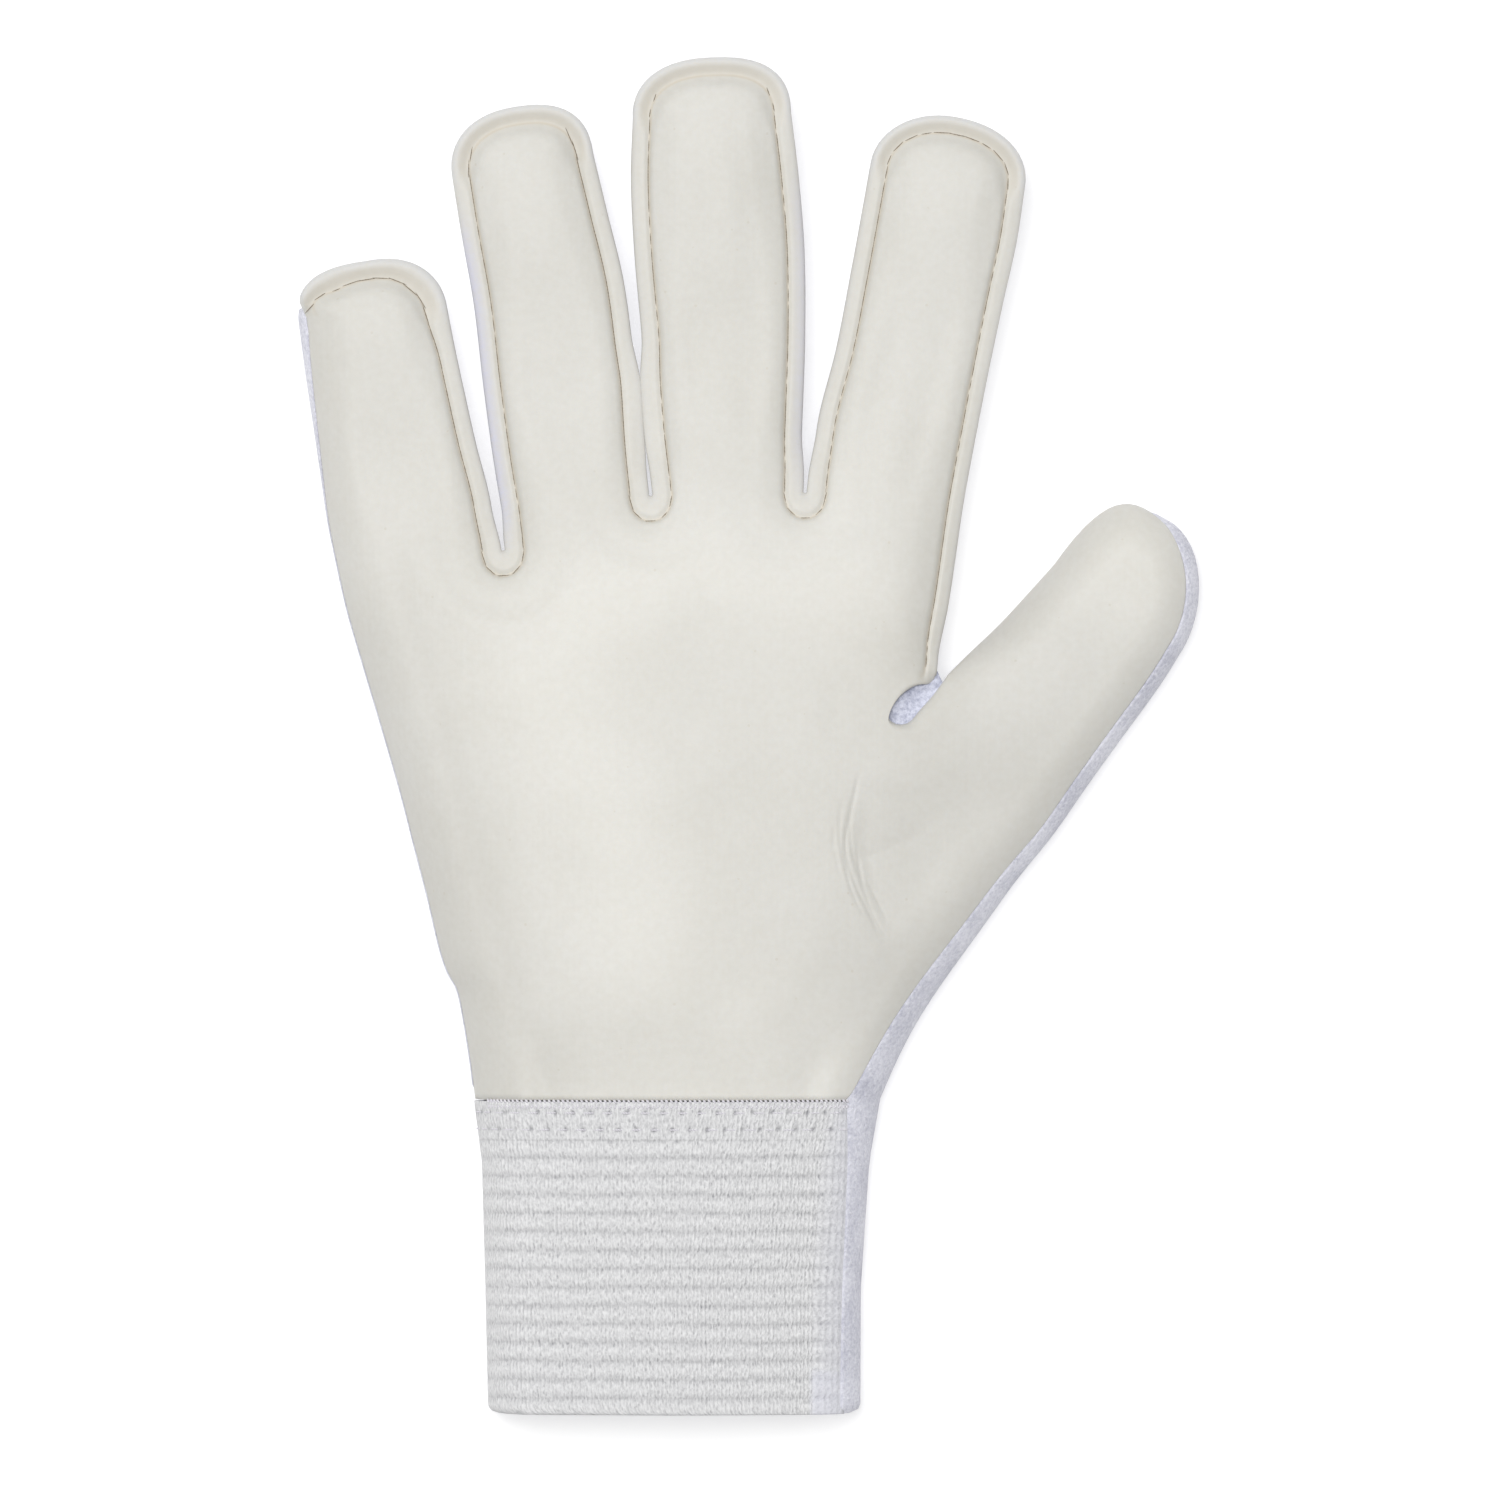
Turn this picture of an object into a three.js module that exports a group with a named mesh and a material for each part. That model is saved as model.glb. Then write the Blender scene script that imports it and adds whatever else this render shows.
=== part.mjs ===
// A right-hand goalkeeper glove, lying on its back with the palm up.
// Every piece is worked out from one outline: a chain of stations that runs from the hem up
// the little finger's side, round every finger and the thumb, and down to the hem again.
// A foam palm sits on upright gussets and on the rim of a textile back, and a ribbed elastic
// closes the front of the cuff. The glove is hollow and open at the wrist. Millimetres, +Z up.
import * as THREE from "three";

// Lengths along the glove
const cuffLength = 52.4; // hem to the foam's lower edge
const palmLength = 101.4; // foam's lower edge to the crotch of middle and index finger
const thumbCrotchDrop = 38.5; // that crotch down to the thumb's crotch
const thumbCrotchSet = 12.3; // thumb's crotch, in from the index finger's outer side

// Widths across the glove
const hemWidth = 62.2;
const cuffTopWidth = 67.9;
const hemShift = 2.4; // the hem's left corner, in from the cuff top's left corner
const littleFlare = 23.6; // the little finger's side, out from the cuff top's left corner
const hemCorner = 1.6;

// Each digit: width across its root, length past the root, length of its round tip, lean
// from straight up in degrees, how far its thumb-side crotch lies below palmLength, and how
// square each half of the tip is (2 is an ellipse, more is squarer).
const digits = {
  little: { width: 27.8, length: 48.9, tip: 10, lean: -8.2, crotch: 9.6, left: 3.0, right: 2.2 },
  ring: { width: 23.0, length: 70.0, tip: 10, lean: -8.5, crotch: 0.5, left: 2.2, right: 2.6 },
  middle: { width: 24.1, length: 72.7, tip: 10, lean: -2.3, crotch: 0, left: 2.3, right: 2.6 },
  index: { width: 26.1, length: 63.5, tip: 10, lean: 10.1, crotch: 0, left: 2.0, right: 2.2 },
  thumb: { width: 31.4, length: 55.2, tip: 18, lean: 36.0, crotch: 0, left: 2.8, right: 1.8 },
};
const fingerNames = ["little", "ring", "middle", "index"];

// Half widths of each digit to the left and right of its axis, as shares of its width.
// along is the share of the straight side between its root and its round tip.
const sideRows = {
  little: [
    { along: 0.18, left: 0.504, right: 0.492 },
    { along: 0.41, left: 0.504, right: 0.457 },
    { along: 0.64, left: 0.505, right: 0.432 },
    { along: 0.84, left: 0.506, right: 0.413 },
    { along: 1.0, left: 0.503, right: 0.402 },
  ],
  ring: [
    { along: 0.18, left: 0.539, right: 0.539 },
    { along: 0.41, left: 0.532, right: 0.585 },
    { along: 0.64, left: 0.513, right: 0.598 },
    { along: 0.84, left: 0.526, right: 0.554 },
    { along: 1.0, left: 0.53, right: 0.517 },
  ],
  middle: [
    { along: 0.18, left: 0.535, right: 0.539 },
    { along: 0.41, left: 0.556, right: 0.583 },
    { along: 0.64, left: 0.585, right: 0.602 },
    { along: 0.84, left: 0.589, right: 0.581 },
    { along: 1.0, left: 0.56, right: 0.548 },
  ],
  index: [
    { along: 0.18, left: 0.525, right: 0.494 },
    { along: 0.41, left: 0.492, right: 0.502 },
    { along: 0.64, left: 0.485, right: 0.517 },
    { along: 0.84, left: 0.483, right: 0.534 },
    { along: 1.0, left: 0.483, right: 0.525 },
  ],
  thumb: [
    { along: 0.18, left: 0.485, right: 0.49 },
    { along: 0.41, left: 0.446, right: 0.486 },
    { along: 0.64, left: 0.397, right: 0.487 },
    { along: 0.84, left: 0.369, right: 0.489 },
    { along: 1.0, left: 0.349, right: 0.474 },
  ],
};

// Left side of the palm: up from the cuff, and out, as shares of its height and littleFlare.
const palmSideRows = [
  { up: 0.89, out: 0.905 },
  { up: 0.77, out: 0.769 },
  { up: 0.66, out: 0.642 },
  { up: 0.56, out: 0.53 },
  { up: 0.46, out: 0.43 },
  { up: 0.36, out: 0.33 },
  { up: 0.255, out: 0.228 },
  { up: 0.215, out: 0.155 },
  { up: 0.15, out: 0.085 },
  { up: 0.07, out: 0.035 },
  { up: 0.02, out: 0.01 },
  { up: 0, out: 0 },
];
// Right side between the thumb's root and the cuff: up and out as shares of that stretch.
const thumbSideRows = [
  { up: 0.85, out: 0.8 },
  { up: 0.7, out: 0.642 },
  { up: 0.54, out: 0.464 },
  { up: 0.4, out: 0.312 },
  { up: 0.27, out: 0.189 },
  { up: 0.13, out: 0.083 },
  { up: 0, out: 0 },
];
// Sides of the cuff: up as a share of cuffLength, left and right as shares of the way from
// the hem's width to the cuff top's width, show as a share of wristShow.
const cuffSideRows = [
  { up: 0.8, left: 0.45, right: 0.45, show: 0.65 },
  { up: 0.4, left: 0.2, right: 0.02, show: 0.56 },
  { up: 0.2, left: 0.1, right: 0, show: 0.58 },
  { up: 0.13, left: 0.08, right: 0, show: 0.97 },
  { up: 0.04, left: 0, right: 0, show: 0.97 },
  { up: 0, left: 0, right: 0, show: 0.97 },
];

// Sheets and seams
const foamThickness = 3.4;
const backThickness = 2.0;
const gussetThickness = 1.3;
const elasticThickness = 1.8;
const seamInset = 3.0; // stitch line, in from the foam's edge
const grooveDepth = 1.7;
const crotchRadius = 0.8;
const thumbCrotchRadius = 1.6;
const pieceGap = 0.3; // clearance between neighbouring pieces

// Heights above the floor
const seamHeight = 9.5; // underside of the foam's sewn flange
const rimHeight = 3.4; // top of the back's rim, where the gussets stand
const fingerCrown = 1.6; // how far the foam domes over a finger
const palmFullness = 8.0; // and how much more over the palm
const fullnessStart = 6; // the palm's dome starts this far in from the outline
const fullnessReach = 24; // and is complete this much further in
const tipLift = 4.0; // the fingertips curl up off the floor by this much
const liftStart = 0.45; // share of the glove's length where they leave the floor
const shoulder = 8.0; // width of the edge strip that holds the seam and the bend
const sideDrop = 3.6; // how far the turned-down foam and textile reach below seamHeight

// Textile that shows beyond the foam, seen from above
const littleSideShow = 1.3;
const thumbSideShow = 2.4;
const wristShow = 5.8;

// Ribbed elastic
const headerWidth = 6.2; // plain band that is sewn over the foam
const ribCount = 15;
const ribHeight = 0.55;

// Share of the palm's fullness along the glove's length
const fullnessRows = [
  { along: 0, share: 0.62 },
  { along: 0.21, share: 0.8 },
  { along: 0.3, share: 0.95 },
  { along: 0.45, share: 1.0 },
  { along: 0.62, share: 0.85 },
  { along: 0.72, share: 0.6 },
  { along: 1, share: 0.5 },
];
// Creases: middle as shares of palmLength up and hemWidth right of the cuff top's middle,
// turn in degrees, half length and half width as shares of palmLength, depth in millimetres.
const creases = [
  { up: 0.33, right: 0.31, turn: 104, long: 0.2, wide: 0.07, depth: 1.5 },
];

// How finely the pieces are divided
const acrossSteps = 5;
const crotchSteps = 3;
const thumbCrotchSteps = 4;
const indexSideSteps = 3;
const spineFoot = 0.6; // how far right the line below the thumb's crotch meets the cuff
const cuffColumns = 10;
const innerStep = 6; // the elastic's inner face skips this many of its rows

const gloveLength = cuffLength + palmLength + digits.middle.length;
const shoulderEnd = Math.min(
  shoulder,
  0.36 * Math.min(...fingerNames.map((name) => digits[name].width)),
);
const radians = THREE.MathUtils.degToRad;
const clamp = THREE.MathUtils.clamp;
const smooth = (x) => THREE.MathUtils.smoothstep(x, 0, 1);
const quarterRound = (x) => Math.sqrt(1 - (1 - clamp(x, 0, 1)) ** 2);
const mix = (a, b, share) => a + (b - a) * share;
const vec = (x, y) => new THREE.Vector2(x, y);
const heading = (degrees) =>
  vec(Math.cos(radians(degrees)), Math.sin(radians(degrees)));

// Straight-line reading of a table with one key column
function tableValue(rows, key, value, at) {
  const next = rows.findIndex((row) => row[key] >= at);
  if (next <= 0) return rows[next < 0 ? rows.length - 1 : 0][value];
  const [a, b] = [rows[next - 1], rows[next]];
  return mix(a[value], b[value], (at - a[key]) / (b[key] - a[key]));
}

// A station is a place on the outline. at(depth) is the point that far inside the edge.
// tuck is 1 where textile wraps up beyond the foam and show is how much of it is seen;
// wrap is 1 where the foam rolls over the side instead. Without either it has a sewn flange.
// low keeps the back's textile down where the foam's tuck ends beside the elastic.
function station(edge, inward, zone, { tuck = 0, wrap = 0, show = 0, low = 0 } = {}) {
  const at = (depth) => edge.clone().addScaledVector(inward, depth);
  return { at, inward, zone, tuck, wrap, show, backTuck: tuck * (1 - wrap) * (1 - low) };
}

// The digit's own frame: origin midway between its two roots, ahead along it, aside right
function digitFrame(name, leftRoot, rightRoot) {
  const lean = radians(digits[name].lean);
  return {
    ...digits[name],
    name,
    origin: leftRoot.clone().lerp(rightRoot, 0.5),
    ahead: vec(Math.sin(lean), Math.cos(lean)),
    aside: vec(Math.cos(lean), -Math.sin(lean)),
  };
}

function inFrame(frame, along, right) {
  return frame.origin
    .clone()
    .addScaledVector(frame.ahead, along)
    .addScaledVector(frame.aside, right);
}

// The stations of one side of a digit, from its root to the start of its tip
function digitSide(frame, root, side, style) {
  const sign = side === "left" ? -1 : 1;
  const inward = frame.aside.clone().multiplyScalar(-sign);
  const straight = frame.length - frame.tip;
  const rows = sideRows[frame.name].map((row) =>
    inFrame(frame, row.along * straight, sign * row[side] * frame.width),
  );
  const zone = `${frame.name}_${side}`;
  return [root, ...rows].map((edge) => station(edge, inward, zone, style));
}

// The stations round a tip, left to right, without the two that end its straight sides
function digitTip(frame, styleAt) {
  const last = sideRows[frame.name].at(-1);
  const straight = frame.length - frame.tip;
  const stations = [];
  for (let i = 1; i < acrossSteps; i++) {
    const angle = Math.PI * (1 - i / acrossSteps);
    const side = angle > Math.PI / 2 ? "left" : "right";
    const power = 2 / frame[side];
    const right = Math.sign(Math.cos(angle)) * Math.abs(Math.cos(angle)) ** power;
    const along = Math.sin(angle) ** power;
    const halfWidth = last[side] * frame.width;
    stations.push({
      ...station(vec(0, 0), vec(0, 0), `${frame.name}_tip`, styleAt(i / acrossSteps)),
      at: (depth) =>
        inFrame(
          frame,
          straight + (frame.tip - depth) * along,
          (halfWidth - depth) * right,
        ),
    });
  }
  return stations;
}

// A round crotch between two sides, swept from one inward heading to the next
function crotchArc(centre, radius, fromDegrees, toDegrees, steps, zone, styleAt) {
  const stations = [];
  for (let i = 1; i < steps; i++) {
    const share = i / steps;
    const inward = heading(mix(fromDegrees, toDegrees, share));
    const edge = centre.clone().addScaledVector(inward, radius);
    stations.push(station(edge, inward, zone, styleAt(share)));
  }
  return stations;
}

// The whole outline, with what the fill needs to know about each digit
function makeOutline() {
  const cuffLeft = -cuffTopWidth / 2;
  const cuffRight = cuffTopWidth / 2;
  const hemLeft = cuffLeft + hemShift;
  const hemRight = hemLeft + hemWidth;
  const palmTop = cuffLength + palmLength;
  const flange = () => ({});

  // Crotches and finger roots, side by side from the little finger's side
  const roots = [];
  const crotches = [];
  let x = cuffLeft - littleFlare;
  fingerNames.forEach((name, i) => {
    const { width, lean, crotch } = digits[name];
    const before = i ? crotches[i - 1] : null;
    const left = before
      ? before.clone().addScaledVector(heading(-lean), crotchRadius)
      : vec(x, palmTop - crotch);
    x += (before ? crotchRadius : 0) + width + crotchRadius;
    crotches.push(vec(x, palmTop - crotch));
    const right = crotches[i]
      .clone()
      .addScaledVector(heading(180 - lean), crotchRadius);
    roots.push({ name, left, right });
  });
  const frames = roots.map((r) => digitFrame(r.name, r.left, r.right));

  const thumbLean = digits.thumb.lean;
  const indexRoot = roots.at(-1).right;
  const thumbCrotch = vec(
    indexRoot.x - thumbCrotchSet,
    palmTop - thumbCrotchDrop,
  );
  const indexTurn = 135; // heading into the glove where the index finger's side ends
  const thumbLeft = thumbCrotch
    .clone()
    .addScaledVector(heading(-thumbLean), thumbCrotchRadius);
  const thumbRight = thumbLeft
    .clone()
    .addScaledVector(heading(-thumbLean), digits.thumb.width);
  const thumb = digitFrame("thumb", thumbLeft, thumbRight);

  const tucked = (show) => ({ tuck: 1, show });
  const cuffRows = cuffSideRows.map((row) => {
    const corner = row.up === 0 ? hemCorner : 0;
    return {
      y: row.up * cuffLength,
      left: mix(hemLeft, cuffLeft, row.left) + corner,
      right: mix(hemRight, cuffRight, row.right) - corner,
      show: row.show * wristShow,
    };
  });

  const outline = [];
  for (const row of [...cuffRows].reverse())
    outline.push(station(vec(row.left, row.y), vec(1, 0), "cuff_left", {}));
  const sideHeight = roots[0].left.y - cuffLength;
  for (const row of [...palmSideRows].reverse()) {
    const edge = vec(cuffLeft - row.out * littleFlare, cuffLength + row.up * sideHeight);
    const inward = heading(mix(0, -digits.little.lean, row.up));
    const style = { ...tucked(littleSideShow), low: row.up ? 0 : 1 };
    outline.push(station(edge, inward, "palm_left", style));
  }
  fingerNames.forEach((name, i) => {
    const frame = frames[i];
    const outer = name === "little";
    outline.push(
      ...digitSide(frame, roots[i].left, "left", outer ? tucked(littleSideShow) : {}),
    );
    const tipStyle = (share) =>
      outer ? { tuck: smooth(1.3 - 3 * share), show: littleSideShow } : {};
    outline.push(...digitTip(frame, tipStyle));
    outline.push(...digitSide(frame, roots[i].right, "right", {}).reverse());
    const next = frames[i + 1];
    if (next)
      outline.push(
        ...crotchArc(
          crotches[i],
          crotchRadius,
          180 - frame.lean,
          360 - next.lean,
          crotchSteps,
          `crotch_${i}`,
          flange,
        ),
      );
  });
  const arcStart = thumbCrotch
    .clone()
    .addScaledVector(heading(indexTurn), thumbCrotchRadius);
  const indexSide = new THREE.CubicBezierCurve(
    indexRoot,
    indexRoot.clone().addScaledVector(frames[3].ahead, -0.4 * thumbCrotchDrop),
    vec(mix(indexRoot.x, thumbCrotch.x, 0.3), mix(indexRoot.y, thumbCrotch.y, 1.02)),
    arcStart,
  );
  for (let i = 1; i <= indexSideSteps; i++) {
    const share = i / indexSideSteps;
    const turn = mix(180 - frames[3].lean, indexTurn, smooth(share));
    outline.push(station(indexSide.getPoint(share), heading(turn), "index_side", {}));
  }
  outline.push(
    ...crotchArc(
      thumbCrotch,
      thumbCrotchRadius,
      indexTurn,
      360 - thumbLean,
      thumbCrotchSteps,
      "thumb_crotch",
      (share) => ({ wrap: smooth(share) }),
    ),
  );
  outline.push(...digitSide(thumb, thumbLeft, "left", { wrap: 1 }));
  outline.push(
    ...digitTip(thumb, (share) => ({
      wrap: 1 - smooth(2 * share - 0.4),
      tuck: 1,
      show: thumbSideShow,
    })),
  );
  outline.push(
    ...digitSide(thumb, thumbRight, "right", tucked(thumbSideShow)).reverse(),
  );
  for (const row of thumbSideRows) {
    const edge = vec(
      mix(cuffRight, thumbRight.x, row.out),
      mix(cuffLength, thumbRight.y, row.up),
    );
    const inward = heading(mix(180, 180 - thumbLean, row.up));
    const show = mix(wristShow, thumbSideShow, row.up);
    outline.push(station(edge, inward, "thumb_side", tucked(show)));
  }
  for (const row of cuffRows)
    outline.push(
      station(vec(row.right, row.y), vec(-1, 0), "cuff_right", tucked(row.show)),
    );
  return outline;
}

const outline = makeOutline();
const edgePoints = outline.map((s) => s.at(0));
const cuffRowCount = cuffSideRows.length;

// Distance from a point to the outline
function distanceIn(point) {
  let best = Infinity;
  for (let i = 0; i + 1 < edgePoints.length; i++) {
    const a = edgePoints[i];
    const run = edgePoints[i + 1].clone().sub(a);
    const share = clamp(point.clone().sub(a).dot(run) / run.lengthSq(), 0, 1);
    best = Math.min(best, point.distanceTo(a.clone().addScaledVector(run, share)));
  }
  return best;
}

// How far the curl of the fingertips raises every piece at this point
function liftAt(point) {
  const start = liftStart * gloveLength;
  return tipLift * clamp((point.y - start) / (gloveLength - start), 0, 1) ** 2;
}

// How much the palm's dome and its creases add to the front pieces at this point
function fullnessAt(point) {
  const inside = smooth((distanceIn(point) - fullnessStart) / fullnessReach);
  let height = palmFullness * inside;
  height *= tableValue(fullnessRows, "along", "share", point.y / gloveLength);
  for (const crease of creases) {
    const middle = vec(crease.right * hemWidth, cuffLength + crease.up * palmLength);
    const away = point.clone().sub(middle).rotateAround(vec(0, 0), -radians(crease.turn));
    const size = (away.x / crease.long) ** 2 + (away.y / crease.wide) ** 2;
    height -= crease.depth * Math.exp(-size / palmLength ** 2) * inside;
  }
  return height;
}

// Underside of the front pieces inside the edge strip, as if the glove lay flat
function frontCrown(point) {
  return seamHeight + fingerCrown + fullnessAt(point);
}

// Profiles across the edge strip: rows of depth inside the edge and height above the floor.

// Height of the turned-down front at a depth: a quarter ellipse up to the finger's crown
function sideTop(depth) {
  const rise = sideDrop + foamThickness + fingerCrown;
  return seamHeight - sideDrop + rise * quarterRound(depth / shoulderEnd);
}

// The point this far below the turned-down front, square to its surface
function underSide(depth, thickness) {
  const step = 0.01;
  const slope = (sideTop(depth + step) - sideTop(depth)) / step;
  const size = thickness / Math.hypot(1, slope);
  return [depth + size * slope, sideTop(depth) - size];
}

function blendRows(share, fromRows, toRows) {
  return fromRows.map((row, i) => row.map((value, j) => mix(value, toRows[i][j], share)));
}

function foamOuter(s) {
  const top = seamHeight + foamThickness;
  const flangeRows = [
    [0, seamHeight + 0.8],
    [0.2, top - 0.9],
    [1.1, top - 0.1],
    [seamInset - 0.7, top - 0.5],
    [seamInset, top - grooveDepth],
    [seamInset + 0.8, top - 0.2],
    [shoulderEnd, top + fingerCrown],
  ];
  const share = [0, 0.03, 0.12, 0.25, 0.42, 0.65, 1];
  const tuckRows = share.map((part) => {
    const depth = mix(s.show, shoulderEnd, part);
    return [depth, sideTop(depth)];
  });
  const wrapEdge = rimHeight + pieceGap;
  const wrapRows = [
    [0.9, wrapEdge],
    [0.1, wrapEdge + 1.3],
    ...[0.03, 0.12, 0.25, 0.5, 1].map((part) => [
      part * shoulderEnd,
      sideTop(part * shoulderEnd),
    ]),
  ];
  return blendRows(s.wrap, blendRows(s.tuck, flangeRows, tuckRows), wrapRows);
}

function foamInner(s) {
  const crownHeight = seamHeight + fingerCrown;
  const flangeRows = [
    [0.4, seamHeight],
    [seamInset + 0.3, seamHeight],
    [shoulderEnd, crownHeight],
  ];
  const edge = underSide(s.show, 0.6 * foamThickness);
  const tuckRows = [
    edge,
    [mix(edge[0], shoulderEnd, 0.45), mix(edge[1], crownHeight, 0.65)],
    [shoulderEnd, crownHeight],
  ];
  const wrapRows = [
    [foamThickness, rimHeight + pieceGap],
    [foamThickness + 0.5, seamHeight - 1.6],
    [shoulderEnd, crownHeight],
  ];
  return blendRows(s.wrap, blendRows(s.tuck, flangeRows, tuckRows), wrapRows);
}

function backOuter(s) {
  const rim = seamInset + 0.2 - gussetThickness;
  const lowRows = [
    [rim, rimHeight],
    [rim - 0.2, rimHeight - 0.4],
    [rim - 0.3, rimHeight - 1.0],
    [rim + 0.2, 0.3 * rimHeight],
    [rim + 2.3, 0],
    [shoulderEnd, 0],
  ];
  const sideRowsUp = [
    [s.show - pieceGap, sideTop(s.show - pieceGap)],
    [0.35 * s.show, sideTop(0.35 * s.show)],
    [0, seamHeight - sideDrop - 0.8],
    [1.1, 0.4 * rimHeight],
    [4.0, 0],
    [shoulderEnd, 0],
  ];
  return blendRows(s.backTuck, lowRows, sideRowsUp);
}

function backInner(s) {
  const lowRows = [
    [seamInset + 0.2, rimHeight],
    [seamInset + 0.9, backThickness + 0.3],
    [shoulderEnd, backThickness],
  ];
  const sideRowsUp = [
    underSide(s.show - pieceGap, 0.75 * backThickness),
    [backThickness + 0.4, seamHeight - sideDrop],
    [shoulderEnd, backThickness],
  ];
  return blendRows(s.backTuck, lowRows, sideRowsUp);
}

// A growing list of points and triangles
class Mesh {
  points = [];
  faces = [];
  add(point, z) {
    this.points.push([point.x, point.y, z]);
    return this.points.length - 1;
  }
  face(a, b, c) {
    if (a !== b && b !== c && c !== a) this.faces.push([a, b, c]);
  }
  quad(a, b, c, d) {
    this.face(a, b, c);
    this.face(a, c, d);
  }
  geometry() {
    const built = new THREE.BufferGeometry();
    built.setAttribute(
      "position",
      new THREE.Float32BufferAttribute(this.points.flat(), 3),
    );
    built.setIndex(this.faces.flat());
    const flat = built.toNonIndexed();
    flat.computeVertexNormals();
    return flat;
  }
}

// Fills a flat ring of points with triangles that turn the same way as the ring
function fillFlat(mesh, ring, contour) {
  const turn = Math.sign(THREE.ShapeUtils.area(contour));
  for (const [a, b, c] of THREE.ShapeUtils.triangulateShape([...contour], [])) {
    const same = Math.sign(THREE.ShapeUtils.area([contour[a], contour[b], contour[c]]));
    if (same === turn) mesh.face(ring[a], ring[b], ring[c]);
    else mesh.face(ring[a], ring[c], ring[b]);
  }
}

// One surface of a panel over the stations first to last: the edge strip's rows, then a fill
// of the fingers, the thumb and the palm. Returns its outline and the chain along its foot.
function panelSurface(mesh, first, last, rowsOf, heightAt, upward) {
  const quad = (a, b, c, d) => (upward ? mesh.quad(a, b, c, d) : mesh.quad(a, d, c, b));
  const strip = [];
  for (let k = first; k <= last; k++)
    strip[k] = rowsOf(outline[k]).map(([depth, z]) => {
      const point = outline[k].at(depth);
      const height = depth < shoulderEnd ? z : heightAt(point);
      return mesh.add(point, height + liftAt(point));
    });
  const rowCount = strip[first].length;
  for (let k = first; k < last; k++)
    for (let r = 0; r + 1 < rowCount; r++)
      quad(strip[k][r], strip[k][r + 1], strip[k + 1][r + 1], strip[k + 1][r]);

  const innerId = (k) => strip[k][rowCount - 1];
  const addInner = (x, y) => {
    const point = vec(x, y);
    return mesh.add(point, heightAt(point) + liftAt(point));
  };
  const between = (a, b, steps) => {
    const [p, q] = [mesh.points[a], mesh.points[b]];
    const ids = [a];
    for (let i = 1; i < steps; i++)
      ids.push(addInner(mix(p[0], q[0], i / steps), mix(p[1], q[1], i / steps)));
    return [...ids, b];
  };
  const zoneIds = (zone) => {
    const ids = [];
    for (let k = first; k <= last; k++) if (outline[k].zone === zone) ids.push(innerId(k));
    return ids;
  };

  // Ladder of rows up each digit, closed by its tip; returns the row at its root
  const fillDigit = (name) => {
    const lefts = zoneIds(`${name}_left`);
    const rights = zoneIds(`${name}_right`).reverse();
    const rows = lefts.map((id, j) => between(id, rights[j], acrossSteps));
    rows.push([lefts.at(-1), ...zoneIds(`${name}_tip`), rights.at(-1)]);
    for (let j = 0; j + 1 < rows.length; j++)
      for (let i = 0; i < acrossSteps; i++)
        quad(rows[j][i], rows[j][i + 1], rows[j + 1][i + 1], rows[j + 1][i]);
    return rows[0];
  };

  // Rows from left to right; the shape of the top row fades out towards the last one
  const fillPatch = (top, left, right) => {
    const [count, columns] = [left.length - 1, top.length - 1];
    const read = (id, axis) => mesh.points[id][axis];
    let above = top;
    for (let j = 1; j <= count; j++) {
      const fade = (1 - j / count) ** 2;
      const place = (i, axis) => {
        const across = (from, to) => mix(read(from, axis), read(to, axis), i / columns);
        const bend = read(top[i], axis) - across(top[0], top[columns]);
        return across(left[j], right[j]) + fade * bend;
      };
      const row = [left[j]];
      for (let i = 1; i < columns; i++) row.push(addInner(place(i, 0), place(i, 1)));
      row.push(right[j]);
      for (let i = 0; i < columns; i++) quad(above[i], row[i], row[i + 1], above[i + 1]);
      above = row;
    }
    return above;
  };

  // The palm in two patches, on either side of a line from the thumb's crotch to the foot
  const left = [...zoneIds("palm_left").reverse(), ...zoneIds("cuff_left").reverse()];
  const right = [...zoneIds("thumb_side"), ...zoneIds("cuff_right")];
  const fingersRow = fingerNames.flatMap((name, i) => [
    ...fillDigit(name),
    ...zoneIds(`crotch_${i}`),
  ]);
  const thumbRow = fillDigit("thumb");
  const crotchIds = zoneIds("thumb_crotch");
  const middleId = thumbCrotchSteps / 2 - 1;
  const [fromX, fromY] = mesh.points[crotchIds[middleId]];
  const toX = spineFoot * mesh.points[right.at(-1)][0];
  const spine = right.map((id) => {
    const y = mesh.points[id][1];
    return addInner(mix(fromX, toX, clamp((fromY - y) / (fromY - cuffLength), 0, 1)), y);
  });
  const inner = [...zoneIds("index_side"), ...crotchIds.slice(0, middleId + 1), ...spine];
  if (left.length !== inner.length)
    throw new Error(`palm sides differ: ${left.length} and ${inner.length} rows`);
  const palmFoot = fillPatch(
    fingersRow,
    [fingersRow[0], ...left],
    [fingersRow.at(-1), ...inner],
  );
  const thumbFoot = fillPatch(
    [...crotchIds.slice(middleId), ...thumbRow],
    [crotchIds[middleId], ...spine],
    [thumbRow.at(-1), ...right],
  );
  const foot = [...palmFoot, ...thumbFoot.slice(1)];

  const edge = [];
  for (let k = first; k <= last; k++) edge.push(strip[k][0]);
  const chain = [
    ...strip[first].slice(0, -1),
    ...foot,
    ...strip[last].slice(0, -1).reverse(),
  ];
  return { edge, chain };
}

// A closed panel: an upper and a lower surface over the same stations
function panel(first, last, upper, lower) {
  const mesh = new Mesh();
  const above = panelSurface(mesh, first, last, upper.rows, upper.height, true);
  const below = panelSurface(mesh, first, last, lower.rows, lower.height, false);
  for (let i = 0; i + 1 < above.edge.length; i++)
    mesh.quad(above.edge[i], above.edge[i + 1], below.edge[i + 1], below.edge[i]);
  const ring = [...below.chain, ...[...above.chain].reverse()];
  const contour = ring.map((id) => vec(mesh.points[id][0], mesh.points[id][2]));
  fillFlat(mesh, ring, contour);
  return mesh;
}

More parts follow.
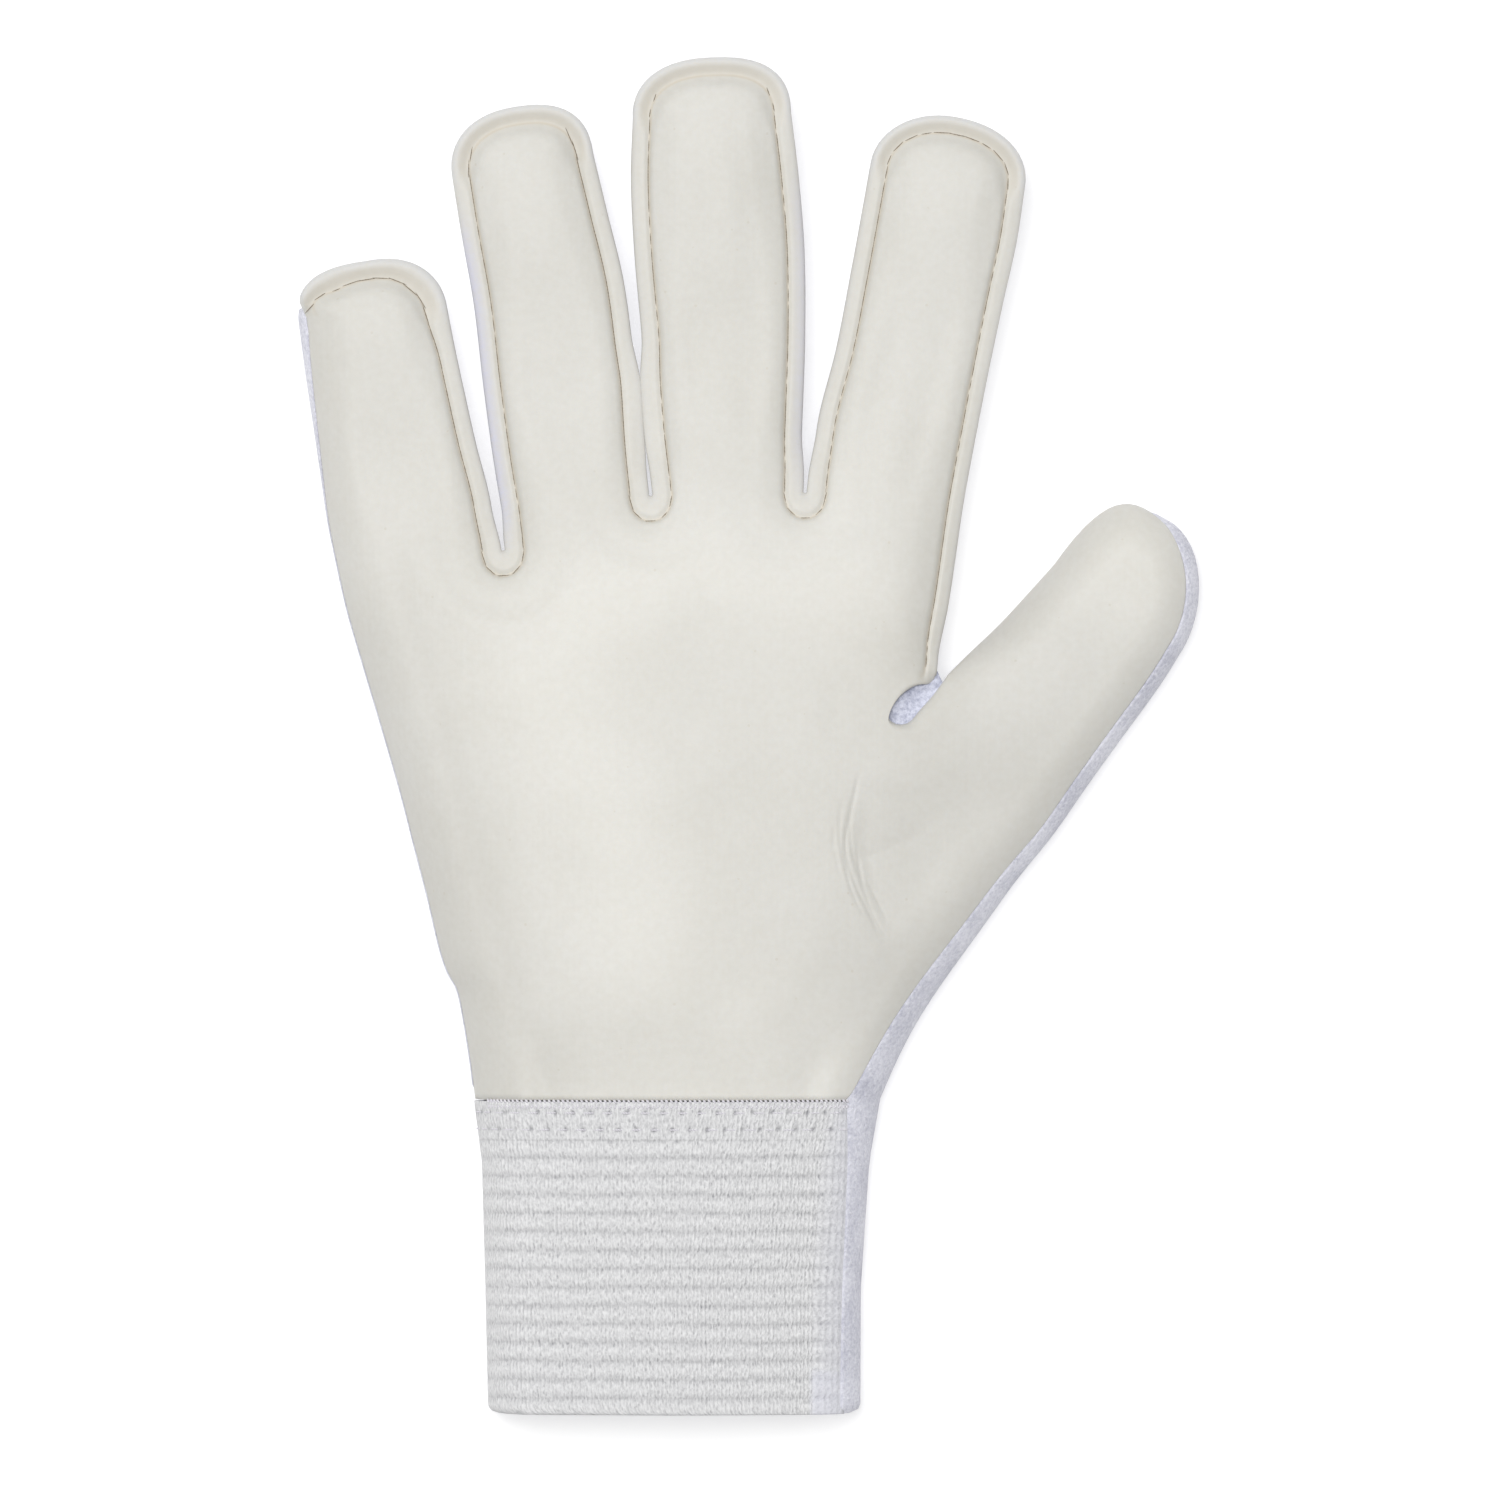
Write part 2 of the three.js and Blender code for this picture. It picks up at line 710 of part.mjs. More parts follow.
// A closed strip along the outline, with the same section all the way. The places are whole
// station numbers, or numbers in between for ends that lie between two stations.
function strip(places, section) {
  const mesh = new Mesh();
  const pointAt = (place, depth) => {
    const before = outline[Math.floor(place)].at(depth);
    return before.lerp(outline[Math.ceil(place)].at(depth), place % 1);
  };
  const rings = places.map((place) =>
    section.map(([depth, z]) => {
      const point = pointAt(place, depth);
      return mesh.add(point, z + liftAt(point));
    }),
  );
  const count = rings[0].length;
  for (let i = 0; i + 1 < rings.length; i++)
    for (let j = 0; j < count; j++) {
      const n = (j + 1) % count;
      mesh.quad(rings[i][j], rings[i + 1][j], rings[i + 1][n], rings[i][n]);
    }
  const contour = section.map(([depth, z]) => vec(depth, z));
  fillFlat(mesh, rings[0], contour);
  fillFlat(mesh, [...rings.at(-1)].reverse(), [...contour].reverse());
  return mesh;
}

// Upright gusset: its foot stands on the back's rim and its head is turned out under the foam
function gussetSection() {
  const foot = rimHeight + pieceGap;
  const head = seamHeight - pieceGap;
  const inner = seamInset + 0.2;
  const outer = inner - gussetThickness;
  const bulge = 0.5;
  return [
    [inner, foot],
    [inner - bulge, mix(foot, head, 0.5)],
    [inner, head],
    [0.6, head],
    [0.6, head - 0.9],
    [outer - bulge, head - 1.5],
    [outer - bulge, mix(foot, head, 0.5)],
    [outer, foot],
  ];
}

// Numbers of all stations in a zone
function zoneStations(zone) {
  return outline.flatMap((s, k) => (s.zone === zone ? [k] : []));
}

// Middle of a digit's tip, half a clearance to the side given by sign
function tipMiddle(name, sign) {
  const ids = zoneStations(`${name}_tip`);
  const place = (ids[0] + ids.at(-1)) / 2;
  const [a, b] = [Math.floor(place - 0.01), Math.ceil(place + 0.01)];
  const stepLength = outline[a].at(seamInset).distanceTo(outline[b].at(seamInset)) / (b - a);
  return place + (sign * pieceGap) / stepLength;
}

// Both ends and the whole stations between them
function placesBetween(from, to) {
  const places = [from];
  for (let k = Math.floor(from) + 1; k < to; k++) places.push(k);
  return [...places, to];
}

// Front of the cuff: from the textile's edge on the thumb side, over the top and round the
// little finger's side, down to the back's rim. Rows run from the foam down to the hem.
function elasticMesh() {
  const mesh = new Mesh();
  const header = cuffLength - pieceGap - headerWidth;
  const pitch = header / (ribCount + 0.2);
  const levels = [
    [cuffLength - pieceGap, 0.2],
    [header + 0.6, 0.2],
  ];
  for (let i = 0; i < ribCount; i++) {
    levels.push([header - pitch * i, -0.5 * ribHeight]);
    levels.push([header - pitch * (i + 0.5), 0.5 * ribHeight]);
  }
  levels.push([0, -0.5 * ribHeight]);
  const cuffRowsUp = [...cuffSideRows].reverse().concat([{ up: 1, left: 1, right: 1 }]);
  const hemLeft = -cuffTopWidth / 2 + hemShift;
  const sideAt = (y, side) => tableValue(cuffRowsUp, "up", side, y / cuffLength);
  const showRows = outline
    .filter((s) => s.zone === "cuff_right")
    .map((s) => ({ y: s.at(0).y, show: s.show }))
    .reverse()
    .concat([{ y: cuffLength, show: wristShow }]);
  const rings = levels.map(([y, relief], level) => {
    const corner = hemCorner * clamp(1 - y / (0.04 * cuffLength), 0, 1);
    const left = mix(hemLeft, -cuffTopWidth / 2, sideAt(y, "left")) + corner;
    const right = mix(hemLeft + hemWidth, cuffTopWidth / 2, sideAt(y, "right")) - corner;
    const show = tableValue(showRows, "y", "show", y);
    const crown = (x) => frontCrown(vec(x, y)) + foamThickness;
    const start = show + pieceGap;
    const outerLine = [start, mix(start, shoulderEnd, 0.4)].map((depth) =>
      vec(right - depth, sideTop(depth)),
    );
    for (let i = 0; i <= cuffColumns; i++) {
      const x = mix(right - shoulderEnd, left + shoulderEnd, i / cuffColumns);
      outerLine.push(vec(x, crown(x)));
    }
    for (const share of [0.55, 0.25, 0.06, 0])
      outerLine.push(vec(left + share * shoulderEnd, sideTop(share * shoulderEnd)));
    outerLine.push(vec(left + 0.5, rimHeight + pieceGap));
    const normalAt = (i) => {
      const a = outerLine[Math.max(i - 1, 0)];
      const b = outerLine[Math.min(i + 1, outerLine.length - 1)];
      return vec(b.y - a.y, a.x - b.x).normalize();
    };
    const outer = outerLine.map((p, i) => p.clone().addScaledVector(normalAt(i), relief));
    const inner = outerLine.map((p, i) =>
      p.clone().addScaledVector(normalAt(i), -elasticThickness),
    );
    const [edgeDepth, edgeHeight] = underSide(wristShow + pieceGap, elasticThickness);
    inner[0].set(right - edgeDepth, edgeHeight);
    inner.at(-1).y = rimHeight + pieceGap;
    outer.at(-1).y = rimHeight + pieceGap;
    const put = (p) => mesh.add(vec(p.x, y), p.y);
    const smoothBack = level % innerStep === 0 || level === levels.length - 1;
    return { outer: outer.map(put), inner: smoothBack ? inner.map(put) : null };
  });
  const last = rings[0].outer.length - 1;
  for (let i = 0; i + 1 < rings.length; i++) {
    const [a, b] = [rings[i].outer, rings[i + 1].outer];
    for (let j = 0; j < last; j++) mesh.quad(a[j], a[j + 1], b[j + 1], b[j]);
  }
  const backed = rings.flatMap((ring, i) => (ring.inner ? [i] : []));
  for (let n = 0; n + 1 < backed.length; n++) {
    const [from, to] = [backed[n], backed[n + 1]];
    const [a, b] = [rings[from].inner, rings[to].inner];
    for (let j = 0; j < last; j++) mesh.quad(a[j], b[j], b[j + 1], a[j + 1]);
    for (let i = from; i < to; i++) {
      mesh.face(a[0], rings[i].outer[0], rings[i + 1].outer[0]);
      mesh.face(a[last], rings[i + 1].outer[last], rings[i].outer[last]);
    }
    mesh.face(a[0], rings[to].outer[0], b[0]);
    mesh.face(a[last], b[last], rings[to].outer[last]);
  }
  const [top, hem] = [rings[0], rings.at(-1)];
  for (let j = 0; j < last; j++) {
    mesh.quad(top.outer[j], top.inner[j], top.inner[j + 1], top.outer[j + 1]);
    mesh.quad(hem.outer[j], hem.outer[j + 1], hem.inner[j + 1], hem.inner[j]);
  }
  return mesh;
}

// Textile web that fills the narrow end of the thumb's crotch, below the foam
function webMesh() {
  const mesh = new Mesh();
  const first = zoneStations("index_side").at(-2);
  const last = zoneStations("thumb_left")[1];
  const ring = placesBetween(first, last).map((k) => outline[k].at(-1.4 * pieceGap));
  const levels = [rimHeight, seamHeight + 0.6];
  const [low, high] = levels.map((z) => ring.map((p) => mesh.add(p, z)));
  ring.forEach((_, i) => {
    const n = (i + 1) % ring.length;
    mesh.quad(low[i], low[n], high[n], high[i]);
  });
  fillFlat(mesh, high, ring);
  fillFlat(mesh, [...low].reverse(), [...ring].reverse());
  return mesh;
}

const latex = new THREE.MeshStandardMaterial({ color: 0xe6e3d8, roughness: 0.72, metalness: 0 });
const textile = new THREE.MeshStandardMaterial({ color: 0xd6d6e2, roughness: 0.9, metalness: 0 });
const knit = new THREE.MeshStandardMaterial({ color: 0xe4e5e5, roughness: 0.95, metalness: 0 });

const glove = new THREE.Group();
function piece(name, mesh, material) {
  const made = new THREE.Mesh(mesh.geometry(), material);
  made.name = name;
  glove.add(made);
}

const lastStation = outline.length - 1;
piece(
  "palm_foam",
  panel(
    cuffRowCount,
    lastStation - cuffRowCount,
    { rows: foamOuter, height: (point) => frontCrown(point) + foamThickness },
    { rows: foamInner, height: frontCrown },
  ),
  latex,
);
piece(
  "back_panel",
  panel(
    0,
    lastStation,
    { rows: backInner, height: () => backThickness },
    { rows: backOuter, height: () => 0 },
  ),
  textile,
);

const indexSideEnd = zoneStations("index_side").at(-1);
const gussets = [
  ["gusset_little_ring", zoneStations("little_tip")[1], tipMiddle("ring", -1)],
  ["gusset_ring_middle", tipMiddle("ring", 1), tipMiddle("middle", -1)],
  ["gusset_middle_index", tipMiddle("middle", 1), tipMiddle("index", -1)],
  ["gusset_index_thumb", tipMiddle("index", 1), indexSideEnd],
];
for (const [name, from, to] of gussets)
  piece(name, strip(placesBetween(from, to), gussetSection()), textile);
piece("thumb_web", webMesh(), textile);
piece("cuff_elastic", elasticMesh(), knit);

// The origin is the middle of the glove's footprint, on the floor
const box = new THREE.Box3().setFromObject(glove);
const middle = box.getCenter(new THREE.Vector3());
glove.position.set(-middle.x, -middle.y, -box.min.z);

export default glove;
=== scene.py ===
import math

import bpy
import numpy as np
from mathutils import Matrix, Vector, noise
from mathutils.geometry import delaunay_2d_cdt


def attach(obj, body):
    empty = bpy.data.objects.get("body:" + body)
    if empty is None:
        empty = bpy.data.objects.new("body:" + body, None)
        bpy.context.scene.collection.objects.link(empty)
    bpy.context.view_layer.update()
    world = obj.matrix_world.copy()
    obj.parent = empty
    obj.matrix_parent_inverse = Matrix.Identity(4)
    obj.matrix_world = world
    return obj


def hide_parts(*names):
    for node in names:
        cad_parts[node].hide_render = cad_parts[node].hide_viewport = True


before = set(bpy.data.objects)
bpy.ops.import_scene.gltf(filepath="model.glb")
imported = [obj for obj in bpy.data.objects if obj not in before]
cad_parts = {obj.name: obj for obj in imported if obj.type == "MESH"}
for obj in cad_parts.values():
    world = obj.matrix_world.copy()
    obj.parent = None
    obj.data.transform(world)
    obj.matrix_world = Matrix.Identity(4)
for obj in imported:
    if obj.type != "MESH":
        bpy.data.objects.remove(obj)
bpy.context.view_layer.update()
print("frame loaded with", len(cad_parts), "nodes")

# The glove lies on its back, palm up, fingers towards +Y and thumb towards +X.
# Sizes below are millimetres; the meshes are turned into metres when they are made.

gloveShape = {
    "place": (-12.08, -113.01),  # from the outline's own zero to the frame's
    "cuffLength": 52.4,
    "palmLength": 101.4,
    "thumbCrotchDrop": 38.5,
    "thumbCrotchSet": 12.3,
    "hemWidth": 62.2,
    "cuffTopWidth": 67.9,
    "hemShift": 2.4,
    "littleFlare": 23.6,
    "hemCorner": 1.6,
    "crotchRadius": 0.8,
    "thumbCrotchRadius": 1.6,
    "shoulder": 8.0,
    "tipLift": 4.0,
    "liftStart": 0.45,
    "fullness": 8.7,
}

heights = {
    "seam": 9.5,  # underside of the sewn flange
    "rim": 3.4,
    "crown": 0.9,
    "foam": 3.4,
    "textile": 2.0,
    "elastic": 1.8,
    "sideDrop": 3.6,
    "gap": 0.3,
    "sewn": 0.5,  # what stands on the back's rim is sewn this far into it
    "seamInset": 3.0,
    "gusset": 1.3,
}

# width, length, round tip, lean, crotch drop, squareness of the tip's left and right half
digits = {
    "little": (27.8, 48.9, 10, -8.2, 9.6, 3.0, 2.2),
    "ring": (23.0, 70.0, 10, -8.5, 0.5, 2.2, 2.6),
    "middle": (24.1, 72.7, 10, -2.3, 0, 2.3, 2.6),
    "index": (26.1, 63.5, 10, 10.1, 0, 2.0, 2.2),
    "thumb": (31.4, 55.2, 18, 36.0, 0, 2.8, 1.8),
}
fingerNames = ["little", "ring", "middle", "index"]

# along the straight side, half width to the left, half width to the right
sideRows = {
    "little": [(0.18, 0.504, 0.492), (0.41, 0.504, 0.457), (0.64, 0.505, 0.432),
               (0.84, 0.506, 0.413), (1.0, 0.503, 0.402)],
    "ring": [(0.18, 0.539, 0.539), (0.41, 0.532, 0.585), (0.64, 0.513, 0.598),
             (0.84, 0.526, 0.554), (1.0, 0.53, 0.517)],
    "middle": [(0.18, 0.535, 0.539), (0.41, 0.556, 0.583), (0.64, 0.585, 0.602),
               (0.84, 0.589, 0.581), (1.0, 0.56, 0.548)],
    "index": [(0.18, 0.525, 0.494), (0.41, 0.492, 0.502), (0.64, 0.485, 0.517),
              (0.84, 0.483, 0.534), (1.0, 0.483, 0.525)],
    "thumb": [(0.18, 0.485, 0.49), (0.41, 0.446, 0.486), (0.64, 0.397, 0.487),
              (0.84, 0.369, 0.489), (1.0, 0.349, 0.474)],
}
# up the palm's left side and out, as shares
palmSide = [(0, 0), (0.07, 0.035), (0.15, 0.085), (0.2, 0.128), (0.228, 0.19), (0.27, 0.247),
            (0.36, 0.33), (0.46, 0.43), (0.56, 0.53), (0.66, 0.642), (0.77, 0.769),
            (0.89, 0.905), (1, 1)]
# from the thumb's root down its outer side to the cuff
thumbSide = [(1, 1), (0.85, 0.8), (0.7, 0.642), (0.54, 0.464), (0.4, 0.312), (0.27, 0.189),
             (0.13, 0.083), (0, 0)]
# up the cuff, left and right widening, textile showing at the right as a share
cuffSide = [(0, 0, 0, 0.6), (0.14, 0.08, 0, 0.6), (0.4, 0.2, 0.02, 0.56),
            (0.8, 0.45, 0.45, 0.65), (1, 1, 1, 1)]
textileShow = {"palm": 0.25, "little": 1.5, "thumb": 2.4, "wrist": 5.8}

density = {
    "across": 28,  # columns over each digit
    "side": 44,  # rows up each side of a digit
    "crotch": 12,
    "thumbCrotch": 16,
    "indexSide": 20,
    "thumbSide": 52,
    "cuff": 24,
    "fine": 0.9,  # net pitch where it shows
    "coarse": 3.0,
}


def mix(a, b, share):
    return a + (b - a) * share


def smooth(x):
    x = np.clip(x, 0, 1)
    return x * x * (3 - 2 * x)


def quarterRound(x):
    return np.sqrt(1 - (1 - np.clip(x, 0, 1)) ** 2)


def heading(degrees):
    turn = np.radians(degrees)
    return np.stack([np.cos(turn), np.sin(turn)], axis=-1)


def curveThrough(points, count):
    # smooth path through the points, count + 1 places at even steps
    points = np.array(points, float)
    steps = np.linalg.norm(np.diff(points, axis=0), axis=1)
    knots = np.concatenate([[0], np.cumsum(steps)])
    slopes = np.zeros_like(points)
    slopes[1:-1] = (points[2:] - points[:-2]) / (knots[2:] - knots[:-2])[:, None]
    slopes[0] = (points[1] - points[0]) / steps[0]
    slopes[-1] = (points[-1] - points[-2]) / steps[-1]
    at = np.linspace(0, knots[-1], count + 1)
    k = np.clip(np.searchsorted(knots, at, side="right") - 1, 0, len(steps) - 1)
    h = steps[k][:, None]
    t = ((at - knots[k]) / steps[k])[:, None]
    return (points[k] * (2 * t**3 - 3 * t**2 + 1) + slopes[k] * h * (t**3 - 2 * t**2 + t)
            + points[k + 1] * (3 * t**2 - 2 * t**3) + slopes[k + 1] * h * (t**3 - t**2))


class Outline:
    # stations round the glove's edge: where they are, which way is inwards, how they are sewn

    def __init__(self):
        self.edge, self.inward, self.zone = [], [], []
        self.tuck, self.wrap, self.show, self.low = [], [], [], []

    def add(self, zone, edges, inwards, tuck=0, wrap=0, show=0, low=0):
        edges = np.atleast_2d(edges)
        count = len(edges)
        self.edge.extend(edges)
        self.inward.extend(np.broadcast_to(inwards, (count, 2)))
        self.zone.extend([zone] * count)
        for values, value in ((self.tuck, tuck), (self.wrap, wrap), (self.show, show),
                              (self.low, low)):
            values.extend(np.broadcast_to(value, (count,)))

    def close(self):
        for name in ("edge", "inward", "tuck", "wrap", "show", "low"):
            setattr(self, name, np.array(getattr(self, name), float))
        self.backTuck = (1 - (1 - self.tuck) ** 3) * (1 - self.wrap) * (1 - self.low)
        steps = np.linalg.norm(np.diff(self.edge + 3 * self.inward, axis=0), axis=1)
        self.along = np.concatenate([[0], np.cumsum(steps)])

    def of(self, zone):
        return np.array([k for k, name in enumerate(self.zone) if name == zone], int)


def digitFrame(name, left, right):
    width, length, tip, lean, _, squareLeft, squareRight = digits[name]
    turn = math.radians(lean)
    return {
        "name": name, "width": width, "length": length, "tip": tip, "lean": lean,
        "square": {"left": squareLeft, "right": squareRight},
        "root": {"left": left, "right": right},
        "origin": (left + right) / 2,
        "ahead": np.array([math.sin(turn), math.cos(turn)]),
        "aside": np.array([math.cos(turn), -math.sin(turn)]),
    }


def inFrame(digit, along, right):
    along, right = np.asarray(along)[..., None], np.asarray(right)[..., None]
    return digit["origin"] + along * digit["ahead"] + right * digit["aside"]


def digitSide(outline, digit, side, **style):
    sign = -1 if side == "left" else 1
    straight = digit["length"] - digit["tip"]
    column = 1 if side == "left" else 2
    rows = sideRows[digit["name"]]
    points = [digit["root"][side]]
    points += [inFrame(digit, row[0] * straight, sign * row[column] * digit["width"])
               for row in rows]
    edges = curveThrough(points, density["side"])
    if side == "right":
        edges = edges[::-1]
        style = {key: value[::-1] if np.ndim(value) else value for key, value in style.items()}
    outline.add(f"{digit['name']}_{side}", edges, -sign * digit["aside"], **style)


def digitTip(outline, digit, styleAt):
    last = sideRows[digit["name"]][-1]
    straight = digit["length"] - digit["tip"]
    share = np.arange(1, density["across"]) / density["across"]
    angle = np.pi * (1 - share)
    left = angle > np.pi / 2
    power = 2 / np.where(left, digit["square"]["left"], digit["square"]["right"])
    right = np.sign(np.cos(angle)) * np.abs(np.cos(angle)) ** power
    along = np.sin(angle) ** power
    halfWidth = np.where(left, last[1], last[2]) * digit["width"]
    edges = inFrame(digit, straight + digit["tip"] * along, halfWidth * right)
    inwards = -along[:, None] * digit["ahead"] - right[:, None] * digit["aside"]
    outline.add(f"{digit['name']}_tip", edges, inwards, **styleAt(share))


def crotchArc(outline, centre, radius, fromDegrees, toDegrees, steps, zone, styleAt):
    share = np.arange(1, steps) / steps
    inwards = heading(mix(fromDegrees, toDegrees, share))
    outline.add(zone, centre + radius * inwards, inwards, **styleAt(share))


def bezier(a, b, c, d, t):
    t = np.asarray(t)[:, None]
    return a * (1 - t)**3 + 3 * b * t * (1 - t)**2 + 3 * c * t**2 * (1 - t) + d * t**3


def cuffEdges(up):
    # the cuff's left and right edge and the textile showing at the right, at shares of its height
    right = gloveShape["cuffTopWidth"] / 2
    hemLeft = gloveShape["hemShift"] - right
    rows = np.array(cuffSide).T
    toLeft, toRight, show = (np.interp(up, rows[0], row) for row in rows[1:])
    return (mix(hemLeft, -right, toLeft), mix(hemLeft + gloveShape["hemWidth"], right, toRight),
            show * textileShow["wrist"])


def hemRound(up):
    # how far the hem's small round corner cuts in at shares of the cuff's height
    return gloveShape["hemCorner"] * (1 - quarterRound(up / 0.03))


def digitFrames():
    # frames of the four fingers and the thumb, and the crotches after each finger
    shape = gloveShape
    palmTop = shape["cuffLength"] + shape["palmLength"]
    radius = shape["crotchRadius"]
    roots, crotches = [], []
    x = -shape["cuffTopWidth"] / 2 - shape["littleFlare"]
    for i, name in enumerate(fingerNames):
        width, _, _, lean, drop = digits[name][:5]
        left = crotches[-1] + radius * heading(-lean) if i else np.array([x, palmTop - drop])
        x += (radius if i else 0) + width + radius
        crotches.append(np.array([x, palmTop - drop]))
        roots.append((left, crotches[-1] + radius * heading(180 - lean)))
    indexRoot = roots[-1][1]
    crotches[-1] = np.array([indexRoot[0] - shape["thumbCrotchSet"],
                             palmTop - shape["thumbCrotchDrop"]])
    across = heading(-digits["thumb"][3])
    thumbRoot = crotches[-1] + shape["thumbCrotchRadius"] * across
    roots.append((thumbRoot, thumbRoot + digits["thumb"][0] * across))
    return [digitFrame(name, *root) for name, root in zip(digits, roots)], crotches


def addPalmSide(outline, littleRoot):
    # little finger's side of the palm
    count = density["indexSide"] + density["thumbCrotch"] // 2 + density["thumbSide"]
    up, out = np.array(palmSide).T
    low, high = gloveShape["cuffLength"], littleRoot[1]
    points = np.stack([-gloveShape["cuffTopWidth"] / 2 - out * gloveShape["littleFlare"],
                       low + up * (high - low)], 1)
    edges = curveThrough(points, count)[:-1]
    share = (edges[:, 1] - low) / (high - low)
    outline.add("palm_left", edges, heading(mix(0, -digits["little"][3], share)), tuck=1,
                show=textileShow["palm"], low=1 - smooth(share / 0.02))


def addFingers(outline, frames, crotches):
    # only the little finger has textile turned up beside it, which narrows towards the palm
    up = np.linspace(0, 1, density["side"] + 1) ** 1.6
    outerSide = {"tuck": 1, "show": mix(textileShow["palm"], textileShow["little"], up)}
    for i, digit in enumerate(frames[:4]):
        outer = digit["name"] == "little"
        digitSide(outline, digit, "left", **(outerSide if outer else {}))
        digitTip(outline, digit, lambda share: {
            "tuck": smooth(1.2 - 9 * share), "show": textileShow["little"]} if outer else {})
        digitSide(outline, digit, "right")
        if i < 3:
            crotchArc(outline, crotches[i], gloveShape["crotchRadius"], 180 - digit["lean"],
                      360 - frames[i + 1]["lean"], density["crotch"], f"crotch_{i}",
                      lambda share: {})


def addIndexSide(outline, index, crotch, turn):
    # from the index finger's root down to the arc round the thumb's crotch
    root = index["root"]["right"]
    arcStart = crotch + gloveShape["thumbCrotchRadius"] * heading(turn)
    share = np.arange(1, density["indexSide"] + 1) / density["indexSide"]
    edges = bezier(root, root - 0.4 * gloveShape["thumbCrotchDrop"] * index["ahead"],
                   np.array([mix(root[0], crotch[0], 0.3), mix(root[1], crotch[1], 1.02)]),
                   arcStart, share)
    outline.add("index_side", edges, heading(mix(180 - index["lean"], turn, smooth(share))))


def addThumb(outline, thumb, crotch, turn):
    # the foam wraps round the inner side, the textile turns up beside the outer one
    show = textileShow["thumb"]
    crotchArc(outline, crotch, gloveShape["thumbCrotchRadius"], turn, 360 - thumb["lean"],
              density["thumbCrotch"], "thumb_crotch", lambda share: {"wrap": 1})
    digitSide(outline, thumb, "left", wrap=1)
    digitTip(outline, thumb, lambda share: {
        "wrap": 1 - smooth(2 * share - 0.4), "tuck": 1, "show": show})
    digitSide(outline, thumb, "right", tuck=1, show=show)
    up, out = np.array(thumbSide).T
    low, root = gloveShape["cuffLength"], thumb["root"]["right"]
    points = np.stack([mix(gloveShape["cuffTopWidth"] / 2, root[0], out),
                       mix(low, root[1], up)], 1)
    edges = curveThrough(points, density["thumbSide"])[1:]
    share = (edges[:, 1] - low) / (root[1] - low)
    outline.add("thumb_side", edges, heading(mix(180, 180 - thumb["lean"], share)), tuck=1,
                show=mix(textileShow["wrist"], show, np.sqrt(share)))


def makeOutline():
    outline = Outline()
    frames, crotches = digitFrames()
    up = np.linspace(0, 1, density["cuff"], endpoint=False) ** 1.4
    left, right, show = cuffEdges(up)
    y = up * gloveShape["cuffLength"]
    indexTurn = 135
    outline.add("cuff_left", np.stack([left + hemRound(up), y], 1), (1, 0))
    addPalmSide(outline, frames[0]["root"]["left"])
    addFingers(outline, frames, crotches)
    addIndexSide(outline, frames[3], crotches[3], indexTurn)
    addThumb(outline, frames[4], crotches[3], indexTurn)
    outline.add("cuff_right", np.stack([right - hemRound(up), y], 1)[::-1], (-1, 0), tuck=1,
                show=show[::-1])
    outline.close()
    return outline


outline = makeOutline()
# the foam's edge round the slit beside the thumb: down the index finger's side to the flange's
# cut end, left along the palm, round the slit's blunt end and up the thumb
slitLine = [(44.97, 133.7), (43.8, 127.3), (43.15, 122.2), (42.4, 121.75), (40.0, 121.5),
            (37.1, 119.85), (34.95, 117.8), (35.2, 116.0), (36.7, 115.0), (38.6, 115.3),
            (40.4, 117.3), (42.8, 120.0), (45.1, 122.9)]
slitEnd = (43.15, 122.2)  # where the flange is cut


def shapeSlit():
    # lays the outline's stations along the slit line; gives the first, the cut and the last
    edge = outline.edge
    first = int(np.argmin(np.linalg.norm(edge - slitLine[0], axis=1)))
    thumb = outline.of("thumb_left")
    last = int(thumb[np.argmin(np.linalg.norm(edge[thumb] - slitLine[-1], axis=1))])
    edge[first:last + 1] = curveThrough([edge[first], *slitLine[1:-1], edge[last]], last - first)
    cut = int(np.argmin(np.linalg.norm(edge - slitEnd, axis=1)))
    outline.wrap[first:last + 1] = smooth((np.arange(first, last + 1) - cut + 1) / 3)
    return first, cut, last


def easeThumbSide():
    # takes the kinks out of the thumb's outer side
    ids = np.concatenate([outline.of("thumb_right")[3:], outline.of("thumb_side")])
    line = outline.edge[ids]
    rounds = 30
    for _ in range(rounds):
        line[1:-1] = (line[:-2] + 2 * line[1:-1] + line[2:]) / 4
    outline.edge[ids] = line


slitStations = shapeSlit()
easeThumbSide()
gloveLength = gloveShape["cuffLength"] + gloveShape["palmLength"] + digits["middle"][1]
shoulderEnd = min(gloveShape["shoulder"], 0.36 * min(digits[n][0] for n in fingerNames))
print("outline has", len(outline.edge), "stations")


# How far in from the edge the seam and the foam's own edge lie, and how the crotches close
seamStyle = {
    "side": 3.0,
    "closed": 2.65,  # where two flanges meet
    "crotch": 3.7,  # below the crotch
    "indexFoot": 2.6,  # at the foot of the index finger's flange
    "lip": 0.12,  # textile that stands out beyond the foam's edge
    "close": 0.7,  # the flanges lean towards each other in the crotches
    "touch": 0.22,  # and touch along the slit between ring and middle finger
    "tightRoll": 2.2,  # the foam rolls down more tightly round the thumb's crotch
    "slitDepth": 0.2,  # and lies almost flat beside the slit, as a share of the full roll
}
# how far beside a crotch the flanges lean together fully, and over what length that fades
closing = {"crotch_0": (1, 7), "crotch_1": (19, 9), "crotch_2": (3, 8)}
# the little finger's tip is sewn deeper at its corners: share over the tip, extra depth
littleSeam = [(0, -1.4), (0.14, -0.5), (0.3, 0.6), (0.47, 0.2), (0.6, 0.5), (0.8, 1.2), (1, 0.9)]


def nearZone(zone, reach, hold=0):
    # 1 over a zone of the outline, fading to 0 at this distance beside it
    ids = outline.of(zone)
    middle, half = outline.along[ids].mean(), np.ptp(outline.along[ids]) / 2
    return 1 - smooth((np.abs(outline.along - middle) - half - hold) / reach)


